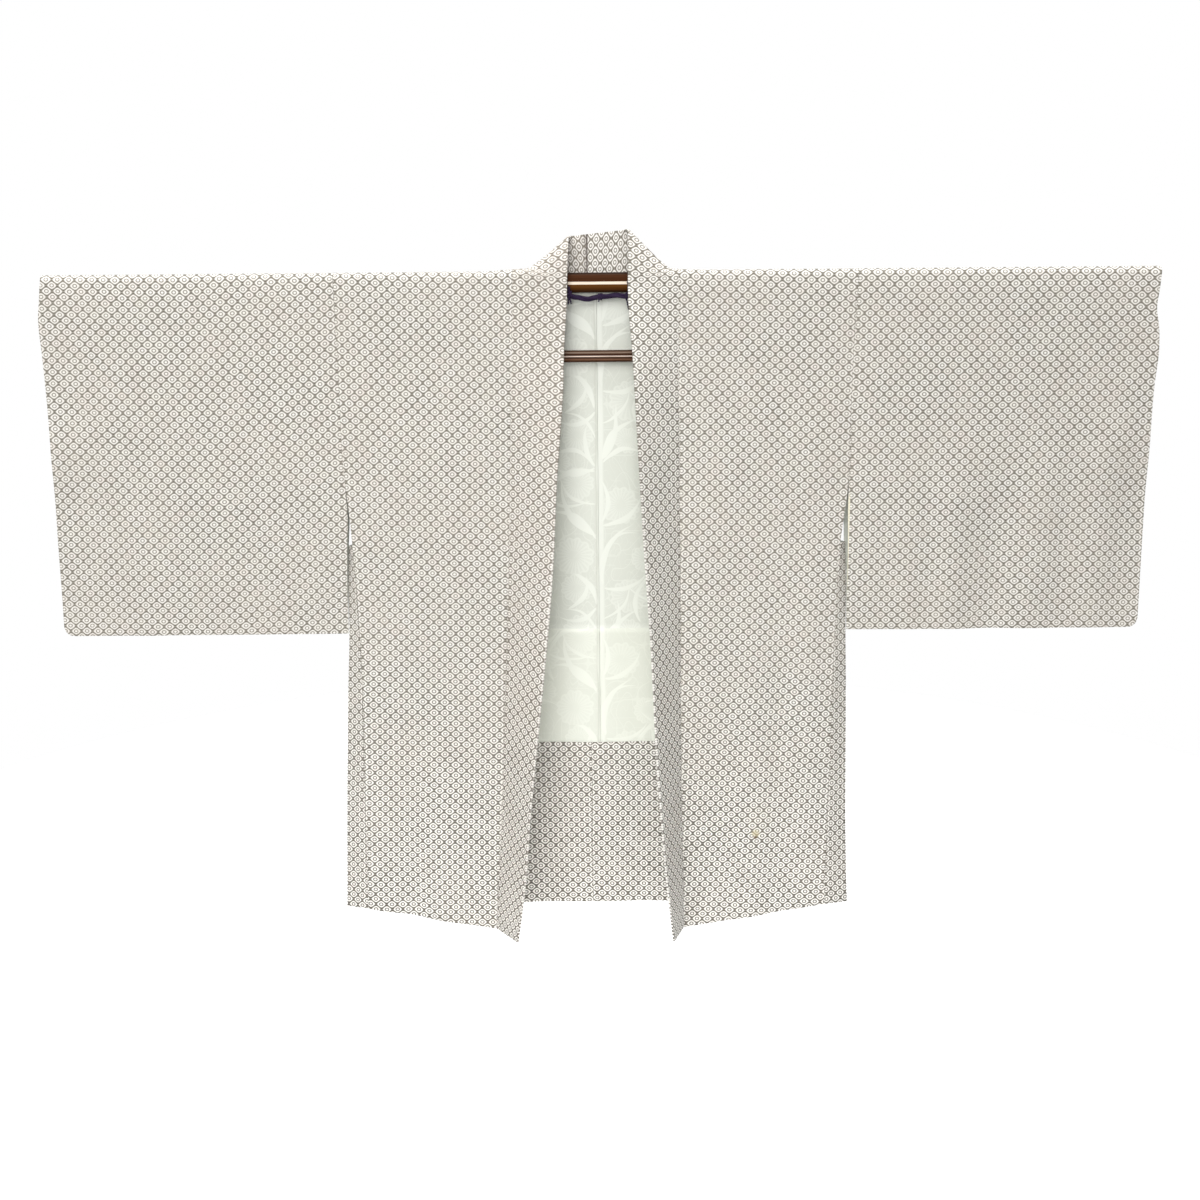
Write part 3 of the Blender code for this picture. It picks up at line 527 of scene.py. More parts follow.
def machi(side):
    """A long wedge folded along its middle, between the panels' side edges."""
    shares = np.linspace(-1, 1, 13)
    lines, flat = [], []
    for level in [z for z in stops(FRONT_MARKS) if z <= MACHI_TOP]:
        edges = [body_point(side, outer_edge(side, row), row) for row in (("front", level), ("back", level))]
        crease = (edges[0] + edges[1]) / 2
        crease[0] = SIDES[side] * along(MACHI_FOLD[side], crease[2])
        ends = [moved_off(edge, crease, SIDES[side], CLOTH) for edge in edges]
        lines.append([crease + (ends[int(w > 0)] - crease) * abs(w) for w in shares])
        half = np.linalg.norm(ends[0] - crease)
        flat.append(np.column_stack((shares * half, np.full(len(shares), level))))
    return np.array(lines), np.array(flat)


def moved_off(edge, towards, outward, thickness):
    """A seam point moved along X until a wall that turns away there clears its neighbour."""
    turn = unit(towards - edge)
    clear = SEAM_GAP + thickness / 2 * math.hypot(turn[1], turn[2])
    return edge + np.array((outward * clear, 0, 0))


# --- sleeve ---


def sleeve_inner(side, z):
    """The sleeve's inner edge: beside the armhole seam, then hanging open."""
    sewn = body_edge(side, z) + SEAM_GAP
    return np.where(np.asarray(z) >= ARMHOLE_LOW, sewn, along(FURI_EDGE[side], z))


def sleeve_shut(side, out, z):
    """0 where front and back stand apart as they do at the bar, and 1 where they are sewn."""
    inner, tip = sleeve_inner(side, z), along(SLEEVE_TIP[side], z)
    down = np.clip((-z - SLEEVE_STRAIGHT) / (SLEEVE_DROP - SLEEVE_STRAIGHT), 0, 1)
    closing = down ** (5 - 3.2 * ramp(out - inner, 0, 0.12))
    pinch = ramp(out, tip - 0.09, tip - 0.004) * ramp(-z, CUFF_LOW - 0.03, CUFF_LOW + 0.05)
    return 1 - (1 - closing) * (1 - pinch)


def sleeve_sway(side, out, z):
    """Folds that carry the sleeve's front and back together."""
    away = ramp(out - sleeve_inner(side, z), 0, 0.05)
    return relief(SLEEVE_FOLDS[side], out, z) * away * ramp(-z, *FOLD_FADE)


def sleeve_line(side, row, shares):
    part, at = row
    z = np.array([0 if part == "over" else at])
    inner, tip = sleeve_inner(side, z), along(SLEEVE_TIP[side], z)
    if side == "l" and part == "back":
        inner = inner - FURI_LINING * ramp(-z, 0.25, 0.29) * (1 - ramp(-z, 0.32, 0.37))
    out = inner + (tip - inner) * shares
    back_depth = BACK_DEPTH + (FRONT_DEPTH - BACK_DEPTH) * ramp(out - inner, 0, 0.06)
    if part == "over":
        places = [over_bar(at, depth - BEND_Y) for depth in back_depth]
        ys, zs = np.array(places).T
    else:
        past_corner = np.clip(out - (tip - SLEEVE_CORNER), 0, SLEEVE_CORNER)
        corner = SLEEVE_CORNER - np.sqrt(SLEEVE_CORNER**2 - past_corner**2)
        zs = at + corner * ramp(-at, 0.36, SLEEVE_DROP)
        depth = FRONT_DEPTH if part == "front" else back_depth
        depth = depth + (SHUT_DEPTH - depth) * sleeve_shut(side, out, zs)
        depth = depth - armhole_dip(out - inner, zs)
        ys = depth * (-1 if part == "front" else 1) - sleeve_sway(side, out, zs)
    return np.column_stack((SIDES[side] * out, ys, zs))


def sleeve(side):
    marks = (-SLEEVE_DROP, -0.37, ARMHOLE_LOW, -0.012)
    near, far = (0, 0.0022, 0.0046, 0.008, 0.012), (0.965, 0.975, 0.983, 0.99, 0.995, 1)
    shares = np.concatenate((near, np.linspace(0.024, 0.955, 51), far))
    lines, flat = [], []
    for row in rows_of("front", marks) + OVER_ROWS + rows_of("back", marks[::-1]):
        line = sleeve_line(side, row, shares)
        sink_seams(line, abs(line[:, 0]) - float(sleeve_inner(side, line[0, 2])))
        lines.append(line)
        flat.append(np.column_stack((abs(line[:, 0]), cloth_way(row, line[:, 2]) + 0 * shares)))
    return np.array(lines), np.array(flat)


# --- collar ---


def seam_frame(side, row):
    """A point of the body's neck edge, and the way across it into the neck."""
    part, at = row
    share = neck_share(row)
    half_width = seam_out(side, 0) - SIDES[side] * BACK_SEAM_X
    across = unit(np.array((math.sqrt(1 - share * share) / half_width, share / NECK_LENGTH)))
    turn = math.radians(at if part == "over" else (0 if part == "front" else 180))
    down_the_back = np.array((0, math.sin(turn), math.cos(turn)))
    inwards = across[0] * np.array((-SIDES[side], 0, 0)) - across[1] * down_the_back
    return body_point(side, inner_edge(side, row), row), inwards


def front_edge_point(side, level):
    """The collar's free edge in front, at the row from this level of the seam."""
    row = ("front", level)
    seam = body_point(side, inner_edge(side, row), row)
    rise = TIP_RISE[side] * ramp(-level, 0.3, 0.8)
    out, forward = (along(COLLAR[side], seam[2], column) for column in (EDGE, FORWARD))
    return np.array((SIDES[side] * out, seam[1] - forward, seam[2] + rise))


def neck_edge_point(side, climb, run, y):
    """The collar's free edge round the neck, from the front to the centre back."""
    size = NECK[side]
    out = along(COLLAR[side], 0, EDGE)
    out = out + (size.peak_out - out) * climb
    out = out + (middle_edge(side) - out) * run
    z = CLIMB_FROM_Z + (size.peak_z - CLIMB_FROM_Z) * climb
    return np.array((SIDES[side] * out, y, z + (TOP_EDGE_Z - z) * run))


def collar_rows():
    front = rows_of("front", (HEM, SLEEVE_LOW, ARMHOLE_LOW, -0.024, BEND_Z), 0.0055)[:-1]
    return front + OVER_ROWS + rows_of("back", (*NECK_MARKS, -0.0206, -NECK_DROP), 0.0012)[1:]


def collar(side):
    """A band from the body's front and neck edge to a free edge."""
    size, ease = NECK[side], COLLAR_EASE[side]
    shares = np.concatenate(((0, 0.012, 0.028, 0.055), np.linspace(0.1, 1, 13)))
    known = [(("front", z), front_edge_point(side, z), 0) for z in reversed(FRONT_STOPS)]
    known += [(row, neck_edge_point(side, climb, run, y), sag) for row, climb, run, y, sag in NECK_ROWS]
    rows, edges, sags = zip(*known)
    ways = np.array([cloth_way(row) for row in rows])
    lines = []
    for row in collar_rows():
        seam, across = seam_frame(side, row)
        free, sag = (smooth(cloth_way(row), ways, values) for values in (edges, sags))
        hang = size.sag * sag * np.sin(math.pi * shares**size.sag_power)
        line = np.outer(shares, free - seam)
        line[:, 2] -= np.minimum(hang, MOST_SAG * max(0, free[2] - seam[2]) * shares)
        turned = np.linalg.norm(np.cross(across, unit(line[1])))
        shift = across * (SEAM_GAP + COLLAR_CLOTH / 2 * turned)
        lines.append(seam + line + np.outer(1 - shares, shift))
    lines = np.array(lines)
    sewn, free = lengths_along(lines[:, 0]), lengths_along(lines[:, -1])
    way = sewn[:, None] + (free - sewn)[:, None] * shares
    climbed = [neck_share(row) for row in collar_rows()]
    round_neck, upright = ramp(climbed, 0.05, 0.6), ramp(climbed, 0, 0.22)[:, None]
    eased = 1 + NECK_CRAMP * (round_neck[1:] + round_neck[:-1]) / 2
    steps = np.diff(way, axis=0) * eased[:, None]
    way = way[0] + np.concatenate((np.zeros((1, len(shares))), np.cumsum(steps, axis=0)))
    inwards = SIDES[side] * (lines[-1:, -1:, 0] - lines[:, :, 0])
    way = way + (way[-1, -1] + inwards * (1 + NECK_CRAMP) - way) * upright
    curled = shares + COLLAR_CURL * shares * (1 - shares) * (1 - upright)
    width = curled * COLLAR_WIDTH * (ease + (1 - ease) * upright)
    lines[:, :, 1] += sunk(free[-1] - free[:, None], *CENTRE_SINK) * ramp(shares, 0, 0.25)
    lines[:, :, 1] += sunk(shares[None, :] * COLLAR_WIDTH, *SEAM_SINK) * (1 - round_neck[:, None])
    return lines, np.stack((width, way), axis=-1)


# --- inside the back ---


def inside_back(side, rows, seam_x, margin, offset):
    """Rows of points inside the back, from a seam near the middle to the side."""
    lines = []
    for z in rows:
        out = np.linspace(middle_edge(side, seam_x), float(body_edge(side, z)) - margin, 48)
        x, zs = SIDES[side] * out, np.full_like(out, z)
        own, other = (wall_y("back", name, SIDES[name] * x, zs) for name in (side, OTHER[side]))
        y = np.where(SIDES[side] * (x - BACK_SEAM_X) > 0, own, other)
        lines.append(np.column_stack((x, y - offset, zs)))
    return np.array(lines)


def lining_back(side):
    """From the back neck to the facing, with one tuck across."""
    offset = (WALL + LINING_WALL) / 2 + SEAM_GAP
    marks = (-0.03, ARMHOLE_LOW, LINING_TUCK_Z, LINING_TUCK_Z - TUCK_STEP, FACING_TOP + SEAM_GAP / 2)
    lines = inside_back(side, stops(marks), LINING_SEAM_X, LINING_MARGIN, offset)
    lines[:, :, 1] -= LINING_TUCK * ramp(LINING_TUCK_Z - lines[:, :, 2], 0, TUCK_STEP)
    neck_centre = SIDES[side] * BACK_SEAM_X
    half_width = seam_out(side, 0) - neck_centre
    share = np.clip((SIDES[side] * lines[0, :, 0] - neck_centre) / half_width, -1, 1)
    top = np.minimum(LINING_TOP, -(NECK_DROP + NECK_MARGIN) * np.sqrt(1 - share**2))
    crown = []
    for step in (0, 0.35, 0.7):
        line = lines[0].copy()
        line[:, 2] = top + (line[:, 2] - top) * step
        line[:, 1] = BACK_DEPTH + BACK_GROWTH * line[:, 2] / HEM - offset
        crown.append(line)
    lines = np.concatenate((crown, lines))[::-1]
    return lines, lines[:, :, (0, 2)]


def hem_facing(side):
    """The outer cloth turned up inside the back hem."""
    rows = stops((FACING_TOP - SEAM_GAP / 2, HEM))
    lines = inside_back(side, rows, BACK_SEAM_X, FACING_MARGIN, WALL + SEAM_GAP)[::-1]
    return lines, lines[:, :, (0, 2)]


# --- node graphs ---


class Wire:
    """An output that takes part in sums: each operator adds a Math node."""

    def __init__(self, graph, socket):
        self.graph, self.socket = graph, socket

    def __rsub__(self, other):
        return self.graph.math("SUBTRACT", other, self)


def operator(operation):
    return lambda self, other: self.graph.math(operation, self, other)

SIGNS = {"add": "ADD", "radd": "ADD", "sub": "SUBTRACT", "mul": "MULTIPLY", "rmul": "MULTIPLY"}
for sign, operation in {**SIGNS, "truediv": "DIVIDE", "pow": "POWER"}.items():
    setattr(Wire, f"__{sign}__", operator(operation))


class Graph:
    """The nodes of a material or of the world, made from short formulas."""

    def __init__(self, name, kind="materials", shader="Principled BSDF"):
        self.made = getattr(bpy.data, kind).new(name)
        self.made.use_nodes = True
        self.nodes, self.links = self.made.node_tree.nodes, self.made.node_tree.links
        self.shader = self.nodes[shader]

    def put(self, socket, value):
        if isinstance(value, Wire):
            self.links.new(value.socket, socket)
        else:
            socket.default_value = value

    def make(self, kind, inputs, output=0, **settings):
        """A new node, its inputs by name or number, and one of its outputs."""
        made = self.nodes.new("ShaderNode" + kind)
        for name in settings:
            setattr(made, name, settings[name])
        for name, value in inputs:
            self.put(made.inputs[name], value)
        return Wire(self, made.outputs[output])

    def math(self, operation, *values):
        return self.make("Math", enumerate(values), operation=operation)

    def absolute(self, value):
        return self.math("ABSOLUTE", value)

    def step(self, value, low, high):
        """0 at low, 1 at high and a soft step between, in either order."""
        inputs = (("Value", value), ("From Min", low), ("From Max", high))
        return self.make("MapRange", inputs, "Result", interpolation_type="SMOOTHSTEP")

    def near(self, value, far, close):
        """0 where a value is further from 0 than far, and 1 where it is nearer than close."""
        return self.step(self.absolute(value), far, close)

    def mix(self, share, first, second):
        """From the first colour to the second, each a wire or an 8-bit colour."""
        first, second = (c if isinstance(c, Wire) else shade(*c) for c in (first, second))
        return self.make("Mix", ((0, share), (6, first), (7, second)), 2, data_type="RGBA")

    def highest(self, first, *others):
        for other in others:
            first = self.math("MAXIMUM", first, other)
        return first

    def vector(self, *parts):
        return self.make("CombineXYZ", enumerate(parts))

    def outputs(self, wire):
        return [Wire(self, socket) for socket in wire.socket.node.outputs]

    def split(self, wire):
        return self.outputs(self.make("SeparateXYZ", ((0, wire),)))

    def flat_cloth(self):
        return self.make("TexCoord", (), "UV")

    def space(self):
        return self.make("TexCoord", (), "Object")

    def noise(self, vector, scale, detail=2, output="Fac"):
        return self.make("TexNoise", (("Vector", vector), ("Scale", scale), ("Detail", detail)), output)

    def random(self, vector):
        """A random value for each place, and a random colour."""
        return self.outputs(self.make("TexWhiteNoise", (("Vector", vector),)))

    def bump(self, height, distance, strength):
        inputs = (("Strength", strength), ("Distance", distance), ("Height", height))
        self.put(self.shader.inputs["Normal"], self.make("Bump", inputs, "Normal"))

    def finish(self, colour, roughness, **settings):
        self.put(self.shader.inputs["Base Color"], colour)
        self.put(self.shader.inputs["Roughness"], roughness)
        for name, value in settings.items():
            self.shader.inputs[name.replace("_", " ")].default_value = value
        return self.made


def shade(red, green, blue):
    """A linear colour from an 8-bit one."""
    parts = [part / 255 for part in (red, green, blue)]
    return (*(p / 12.92 if p < 0.04045 else ((p + 0.055) / 1.055) ** 2.4 for p in parts), 1)


# --- materials ---

DARK_LINE, PALE = (84, 80, 72), (252, 249, 243)


def outer_cloth(name, painted_shade=0, bold=0, painted_light=0, fold=None):
    """Silk with a lattice of grey lines, and in each cell a cream lozenge, ring and dot.

    Of the three shares, the first lays grey-pink over all of it as painted shade for a piece turned from
    the light, the second (bold) darkens its lines and the third whitens its cream as painted light for a
    piece that gets less light; fold is where a collar's folded edge lies, with a painted highlight along
    it low down, where its steep lines are heavier too.
    """
    g = Graph(name)
    uv = g.flat_cloth()
    u, v, _ = g.split(uv)
    sway_u, sway_v, _ = g.split(g.noise(uv, 26, 1, "Color"))
    a, b = (place / REPEAT + (sway - 0.5) * 0.14 for place, sway in ((u, sway_u), (v, sway_v)))
    s, t = a + b, a - b
    cell_s, cell_t = g.math("FLOOR", s), g.math("FLOOR", t)
    local_s, local_t = s - cell_s - 0.5, t - cell_t - 0.5
    x, y = g.absolute((local_s + local_t) * 0.5), g.absolute((local_s - local_t) * 0.5)
    luck, lucks = g.random(g.vector(cell_s, cell_t, 3))
    warm, rosy, weight = g.split(lucks)
    fuzz = g.noise(uv, 900, 2) - 0.5

    lozenge = (x / 0.4) ** 1.34 + (y / 0.318) ** 1.34 + fuzz * 0.12 + (weight - 0.5) * 0.1
    inside = g.step(lozenge, 1.13, 0.87)
    ring_at = (x * x * 0.8 + y * y * 1.1) ** 0.5 + fuzz * 0.01
    ring = g.near(ring_at - 0.146, 0.062, 0.024)
    dot = g.step(ring_at, 0.076, 0.038)
    beside_crossing = g.near(y - 0.425, 0.036, 0.012) * g.step(x, 0.085, 0.03)
    at_crossing = g.step(g.highest(x - 0.43, y - 0.47), -0.01, 0.02)

    along_x, depth, height = g.split(g.space())
    low = g.step(height, -0.38, -0.76)
    at_neck = g.step(height, -0.026, -0.02) * g.step(depth, -0.012, -0.006)
    line = g.mix(luck, (126, 122, 112), (141, 137, 127))
    line = g.mix(low * 0.75 + (1 - at_neck) * bold, line, DARK_LINE)
    line = g.mix(beside_crossing, line, DARK_LINE)
    line = g.mix(at_crossing * 0.45, line, (198, 193, 182))
    cream = g.mix(warm * 0.45, (236, 233, 228), (232, 228, 216))
    cream = g.mix(g.step(rosy, 0.62, 1) * 0.45, cream, (231, 221, 215))
    # paler cream low down, and the third share whitens it further as painted light
    cream = g.mix(low * 0.85 + painted_light, cream, PALE)
    # painted light: the cream at the back neck is made paler for the shade the neck lies in
    cream = g.mix(at_neck * 0.8, cream, (254, 251, 246))
    round_ring = g.mix(weight, (145, 141, 132), (160, 156, 146))
    cream = g.mix(ring, cream, g.mix(low * 0.95 + bold, round_ring, (96, 92, 86)))
    cream = g.mix(dot, cream, (243, 241, 235))
    colour = g.mix(inside, line, cream)
    cloudy = g.step(g.noise(uv, 9, 3), 0.35, 0.7)
    # grey-pink: a faint random cloud, plus the first share laid over all of it as painted shade
    colour = g.mix(cloudy * 0.07 + painted_shade, colour, (212, 194, 180))
    if fold is not None:
        steep = g.near(local_s, 0.36, 0.46) * g.step(height, -0.3, -0.6)
        colour = g.mix(steep * 0.5, colour, (80, 74, 66))
        # painted highlight along the collar's folded edge, low down
        painted_edge_highlight = g.step(u, fold - 0.0019, fold - 0.001) * g.step(height, -0.2, -0.34)
        painted_edge_highlight = painted_edge_highlight * g.step(height, -0.8, -0.76)
        colour = g.mix(painted_edge_highlight * (0.2 + inside * 0.35), colour, PALE)
    colour = marked(g, colour, along_x, depth, height)
    # painted shadow in the back neck's centre seam, with a painted grey shade beside it where the cloth
    # curves under
    across = along_x - BACK_SEAM_X
    beside = g.near(across + 0.0024, 0.0022, 0.0008) * (0.3 + fuzz * 0.9)
    seam = g.highest(g.near(across, 0.0016, 0.0005), beside)
    colour = g.mix(seam * at_neck * 0.8, colour, (84, 72, 68))

    slub = g.noise(g.vector(u * 1, v * 7, 0), 420, 2)
    weave = g.noise(uv, 2600, 1)
    g.bump(inside * 0.55 + ring * -0.12 + slub * 0.3 + weave * 0.25, 0.00022, 0.55)
    return g.finish(
        colour, 0.8 - 0.1 * inside, Sheen_Weight=0.08, Sheen_Roughness=0.5, Specular_IOR_Level=0.22
    )


# Old spots on the wearer's left front: each is (x, z), radius, colour and share.
SPOTS = (
    ((0.1988, -0.6811), 0.024, (232, 222, 194), 0.06),
    ((0.1948, -0.6991), 0.007, (196, 184, 140), 0.55),
    ((0.1945, -0.7044), 0.003, (96, 70, 44), 0.8),
)
FURI_X = 0.3036


def marked(g, colour, x, y, z):
    """The lining that peeps out along the left sleeve's open edge, and the old spots."""
    in_front = g.step(y, 0, -0.004)
    edge = g.near(x - FURI_X, 0.0021, 0.0013) * g.step(z, -0.262, -0.275) * g.step(z, -0.405, -0.35)
    colour = g.mix(edge * in_front * 0.8, colour, (246, 240, 214))
    for (at_x, at_z), radius, tint, share in SPOTS:
        away = ((x - at_x) ** 2 + (z - at_z) ** 2) ** 0.5
        colour = g.mix(g.step(away, radius, radius * 0.35) * in_front * share, colour, tint)
    return colour


# Blades of one repeat, in mm and degrees: where each starts, its way, length, half width and bow.
BLADES = (
    (4, 20, 78, 76, 3.8, -0.8), (4, 20, 48, 72, 4.4, 1), (4, 16, 8, 56, 3.4, 1.5),
    (50, 58, 78, 60, 3.6, 1.3), (4, 108, 62, 86, 4.6, 1.3), (5, 104, 24, 62, 3.6, -1.3),
    (56, 150, -18, 50, 3.2, 1.5), (4, 186, 96, 58, 3.4, -1), (5, 182, 40, 60, 4, -1.2),
    (70, 200, 62, 52, 3.6, -1.3), (106, 48, 118, 86, 4.6, 1.2), (106, 44, 152, 72, 4.2, -1.2),
    (106, 128, 208, 72, 4.2, -1.2), (106, 132, 170, 60, 3.6, 1.4), (106, 134, 98, 56, 3.4, 1),
    (106, 204, 132, 64, 4.2, -1.2), (106, 200, 190, 50, 3.4, 1.4), (100, 90, 158, 80, 2, 1.5),
    (4, 64, 58, 60, 2.2, -1.3), (4, 148, 26, 52, 2.2, 1.4), (106, 86, 136, 62, 2.4, 1.4),
    (106, 168, 146, 56, 2.2, -1.3),
)
# Flowers: where the middle lies and the radius.
BLOSSOMS = mm(
    (36, 92, 23), (84, 112, 21), (26, 206, 23), (78, 22, 24), (82, 226, 19), (58, 140, 17), (36, 44, 17),
    (84, 172, 20),
)
STEMS = ((26, 0, 0.01, 0.45), (40, 4, 0.016, 0.45), (95, 9, 0.022, 0.32))
LINING_REPEAT = (0.11, 0.244)


def blade(g, place, x, y, turn, long, wide, bow):
    """A long curved leaf that tapers to both ends."""
    turned = (0, 0, math.radians(turn))
    inputs = (("Vector", place), ("Location", (x / 1000, y / 1000, 0)), ("Rotation", turned))
    inputs += (("Scale", (long / 1000, wide / 1000, 1)),)
    along_it, across, _ = g.split(g.make("Mapping", inputs, vector_type="TEXTURE"))
    bow = along_it * (1 - along_it) * (bow * long / wide * 0.62)
    narrowing = (1 - g.math("MINIMUM", along_it, 1)) ** 0.62
    widening = g.step(along_it, -0.04, 0.05) * (g.step(along_it, 0, 0.4) * 0.6 + 0.5)
    width = widening * narrowing * 1.45 - 0.25
    return g.step(g.absolute(across - bow) - width, 0.12, -0.16)


def blossom(g, x, y, middle_x, middle_y, size):
    """A round flower of many fine petals with a scalloped edge."""
    x, y = x - middle_x, y - middle_y
    reach = (x * x + y * y) ** 0.5 / size
    angle = g.math("ARCTAN2", y, x)

    def waves(count, turn=0):
        return g.absolute(g.math("SINE", angle * count + turn))

    edge = reach / (waves(6) * 0.13 + 0.87)
    rim = g.near(edge - 0.97, 0.085, 0.02)
    inner_rim = g.near(reach / (waves(4, 0.4) * 0.1 + 0.5) - 0.97, 0.12, 0.03)
    fine = g.step(waves(12), 0.55, 0.95) * g.step(reach, 0.2, 0.4)
    return g.highest(g.step(edge, 1, 0.93) * (fine * 0.34 + 0.28), g.highest(rim, inner_rim * 0.7) * 0.62)


def stem(g, u, v, scale, seed, width):
    """Thin winding stems: the level lines of a slow noise."""
    level = g.noise(g.vector(u * 1.25 + seed, v * 0.8, 0), scale, 0)
    return g.near(level - 0.5, width, width * 0.4)


def lining():
    """Pale satin with flowers, leaves and stems that show only by their sheen."""
    g = Graph("lining")
    uv = g.flat_cloth()
    u, v, _ = g.split(uv)
    x, _, z = g.split(g.space())
    lower = g.step(z, LINING_TUCK_Z + 0.0004, LINING_TUCK_Z - 0.0004)
    wide, tall = LINING_REPEAT
    warp_u, warp_v, _ = g.split(g.noise(uv, 22, 1, "Color"))
    half_drop = g.math("FLOOR", u / wide) * 0.5
    tile_u = g.math("FRACT", u / wide) * wide + (warp_u - 0.5) * 0.008
    tile_v = g.math("FRACT", v / tall + half_drop + lower * 0.8) * tall + (warp_v - 0.5) * 0.008
    place = g.vector(tile_u, tile_v, 0)

    waver = g.noise(g.vector(0, v, 0), 14, 1) - 0.5
    away = g.absolute(x - 0.0016 + waver * 0.01) - waver * 0.006
    band = g.step(away, 0.0054, 0.0022)
    groove = g.near(x + 0.0036 + waver * 0.004, 0.0012, 0.0004)
    figures = [band * 0.85] + [stem(g, u, v, *shape) * share for *shape, share in STEMS]
    figures += [blossom(g, tile_u, tile_v, *shape) for shape in BLOSSOMS]
    figures += [blade(g, place, *shape) for shape in BLADES]
    figure = g.highest(*figures)
    threads = g.noise(g.vector(u * 1, v * 6, 0), 700, 2)

    # painted light: below the tuck the ground and figures are paler, for the brighter light there
    ground = g.mix(lower, (221, 224, 214), (230, 233, 221))
    shine = g.mix(lower, (240, 243, 234), (244, 247, 236))
    colour = g.mix(figure * 0.85 + threads * 0.06, ground, shine)
    cloudy = g.step(g.noise(uv, 12, 2), 0.35, 0.75)
    colour = g.mix(cloudy * 0.15, colour, (234, 237, 228))
    colour = g.mix(groove * 0.35, colour, (196, 199, 186))
    g.bump(band * 0.6 + threads * 0.3, 0.00012, 0.45)
    return g.finish(
        colour, 0.54 - 0.14 * figure, Sheen_Weight=0.06, Sheen_Roughness=0.4, Specular_IOR_Level=0.36
    )


# Bands along the top bar: each is (top, bottom), colour and share. The first is a painted shadow along the
# bar's top edge.
BANDS = (
    ((0.001, -0.0024), (36, 15, 3), 0.95),
    ((-0.0024, -0.0102), (66, 33, 9), 0.95),
    ((-0.0106, -0.0138), (247, 232, 212), 1),
)


def lacquer():
    """Dark brown lacquer on the top bar, with a fine pale line along its face and a painted shadow along its
    top edge.
    """
    g = Graph("lacquer")
    x, y, z = g.split(g.space())
    grain = g.noise(g.vector(x * 3, y * 60, z * 90), 6, 4)
    colour = g.mix(g.step(z, -0.0145, -0.0234), (92, 54, 8), (56, 30, 10))
    for (top, bottom), tint, share in BANDS:
        half = (top - bottom) / 2
        inside = g.near(z - (top + bottom) / 2, half + 0.00025, half - 0.00025)
        colour = g.mix(inside * share, colour, tint)
    colour = g.mix(g.step(grain, 0.52, 0.72) * 0.25, colour, (46, 24, 8))
    g.bump(grain, 0.0002, 0.25)
    return g.finish(colour, 0.5, Specular_IOR_Level=0.06, Coat_Weight=0.02, Coat_Roughness=0.3)


# Painted highlights on the reeds: how far down each lies, its half height, colour and share.
REED_HIGHLIGHTS = (
    (0.0027, 0.0012, (160, 138, 120), 0.85),
    (0.0071, 0.001, (236, 216, 202), 1),
    (0.0108, 0.001, (146, 110, 86), 0.8),
)


def reeded_lacquer():
    """The lower bar's lacquer, with painted highlights along its reeds."""
    g = Graph("reeded_lacquer")
    x, y, z = g.split(g.space())
    down = LOWER_BAR_TOP - z
    grain = g.noise(g.vector(x * 4, y * 60, z * 90), 6, 4)
    colour = (66, 40, 24)
    for depth, half, tint, share in REED_HIGHLIGHTS:
        colour = g.mix(g.near(down - depth, half, half * 0.3) * share, colour, tint)
    colour = g.mix(g.step(grain, 0.5, 0.72) * 0.3, colour, (62, 36, 22))
    g.bump(grain, 0.0002, 0.3)
    return g.finish(colour, 0.48, Specular_IOR_Level=0.12, Coat_Weight=0.02, Coat_Roughness=0.3)


def purple_cord():
    g = Graph("purple_cord")
    place = g.space()
    fibre = g.noise(place, 1400, 3)
    patch = g.noise(place, 160, 2)
    colour = g.mix(fibre, (18, 10, 30), (54, 34, 72))
    colour = g.mix(g.step(patch, 0.45, 0.7) * 0.5, colour, (32, 18, 50))
    g.bump(fibre, 0.0003, 0.6)
    return g.finish(colour, 0.7, Sheen_Weight=0.08, Sheen_Roughness=0.4, Specular_IOR_Level=0.2)


# --- pieces ---


def link(name, data):
    obj = bpy.data.objects.new(name, data)
    bpy.context.collection.objects.link(obj)
    return obj


def mesh_from(name, points, faces):
    mesh = bpy.data.meshes.new(name)
    mesh.from_pydata([tuple(map(float, point)) for point in points], [], faces)
    mesh.shade_smooth()
    return mesh


def sheet_of(node, lines, flat, thickness, side, slots, inner_from=None):
    """A thin shell over a node: slots are its outer and inner material.

    Faces with all their points below inner_from have the outer material inside too.
    """
    rows, columns, _ = lines.shape
    corners = np.arange(rows * columns).reshape(rows, columns)[:-1, :-1].reshape(-1, 1)
    faces = (corners + (0, 1, columns + 1, columns))[:, :: SIDES[side]]
    mesh = mesh_from(f"{node}_cloth", lines.reshape(-1, 3), faces.tolist())
    layer = mesh.uv_layers.new(name="UVMap")
    loops = np.empty(len(mesh.loops), np.int32)
    mesh.loops.foreach_get("vertex_index", loops)
    layer.data.foreach_set("uv", flat.reshape(-1, 2)[loops].astype(np.float32).ravel())
    outer, inner = slots
    for material in (outer, inner, outer, outer):
        mesh.materials.append(material)
    if inner_from is not None:
        turned_up = lines[:, :, 2].ravel()[faces].max(axis=1) < inner_from
        mesh.polygons.foreach_set("material_index", turned_up.astype(np.int32) * 2)
    obj = link(mesh.name, mesh)
    wall = obj.modifiers.new("Wall", "SOLIDIFY")
    wall.thickness, wall.offset, wall.material_offset = thickness, 0, 1
    edge = obj.modifiers.new("Edge", "BEVEL")
    edge.width, edge.segments = min(EDGE_ROUND, thickness / 4), 2
    edge.angle_limit = math.radians(60)
    return dressed(obj, node)


def dressed(obj, node):
    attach(obj, "root")
    if node:
        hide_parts(node)
    return obj


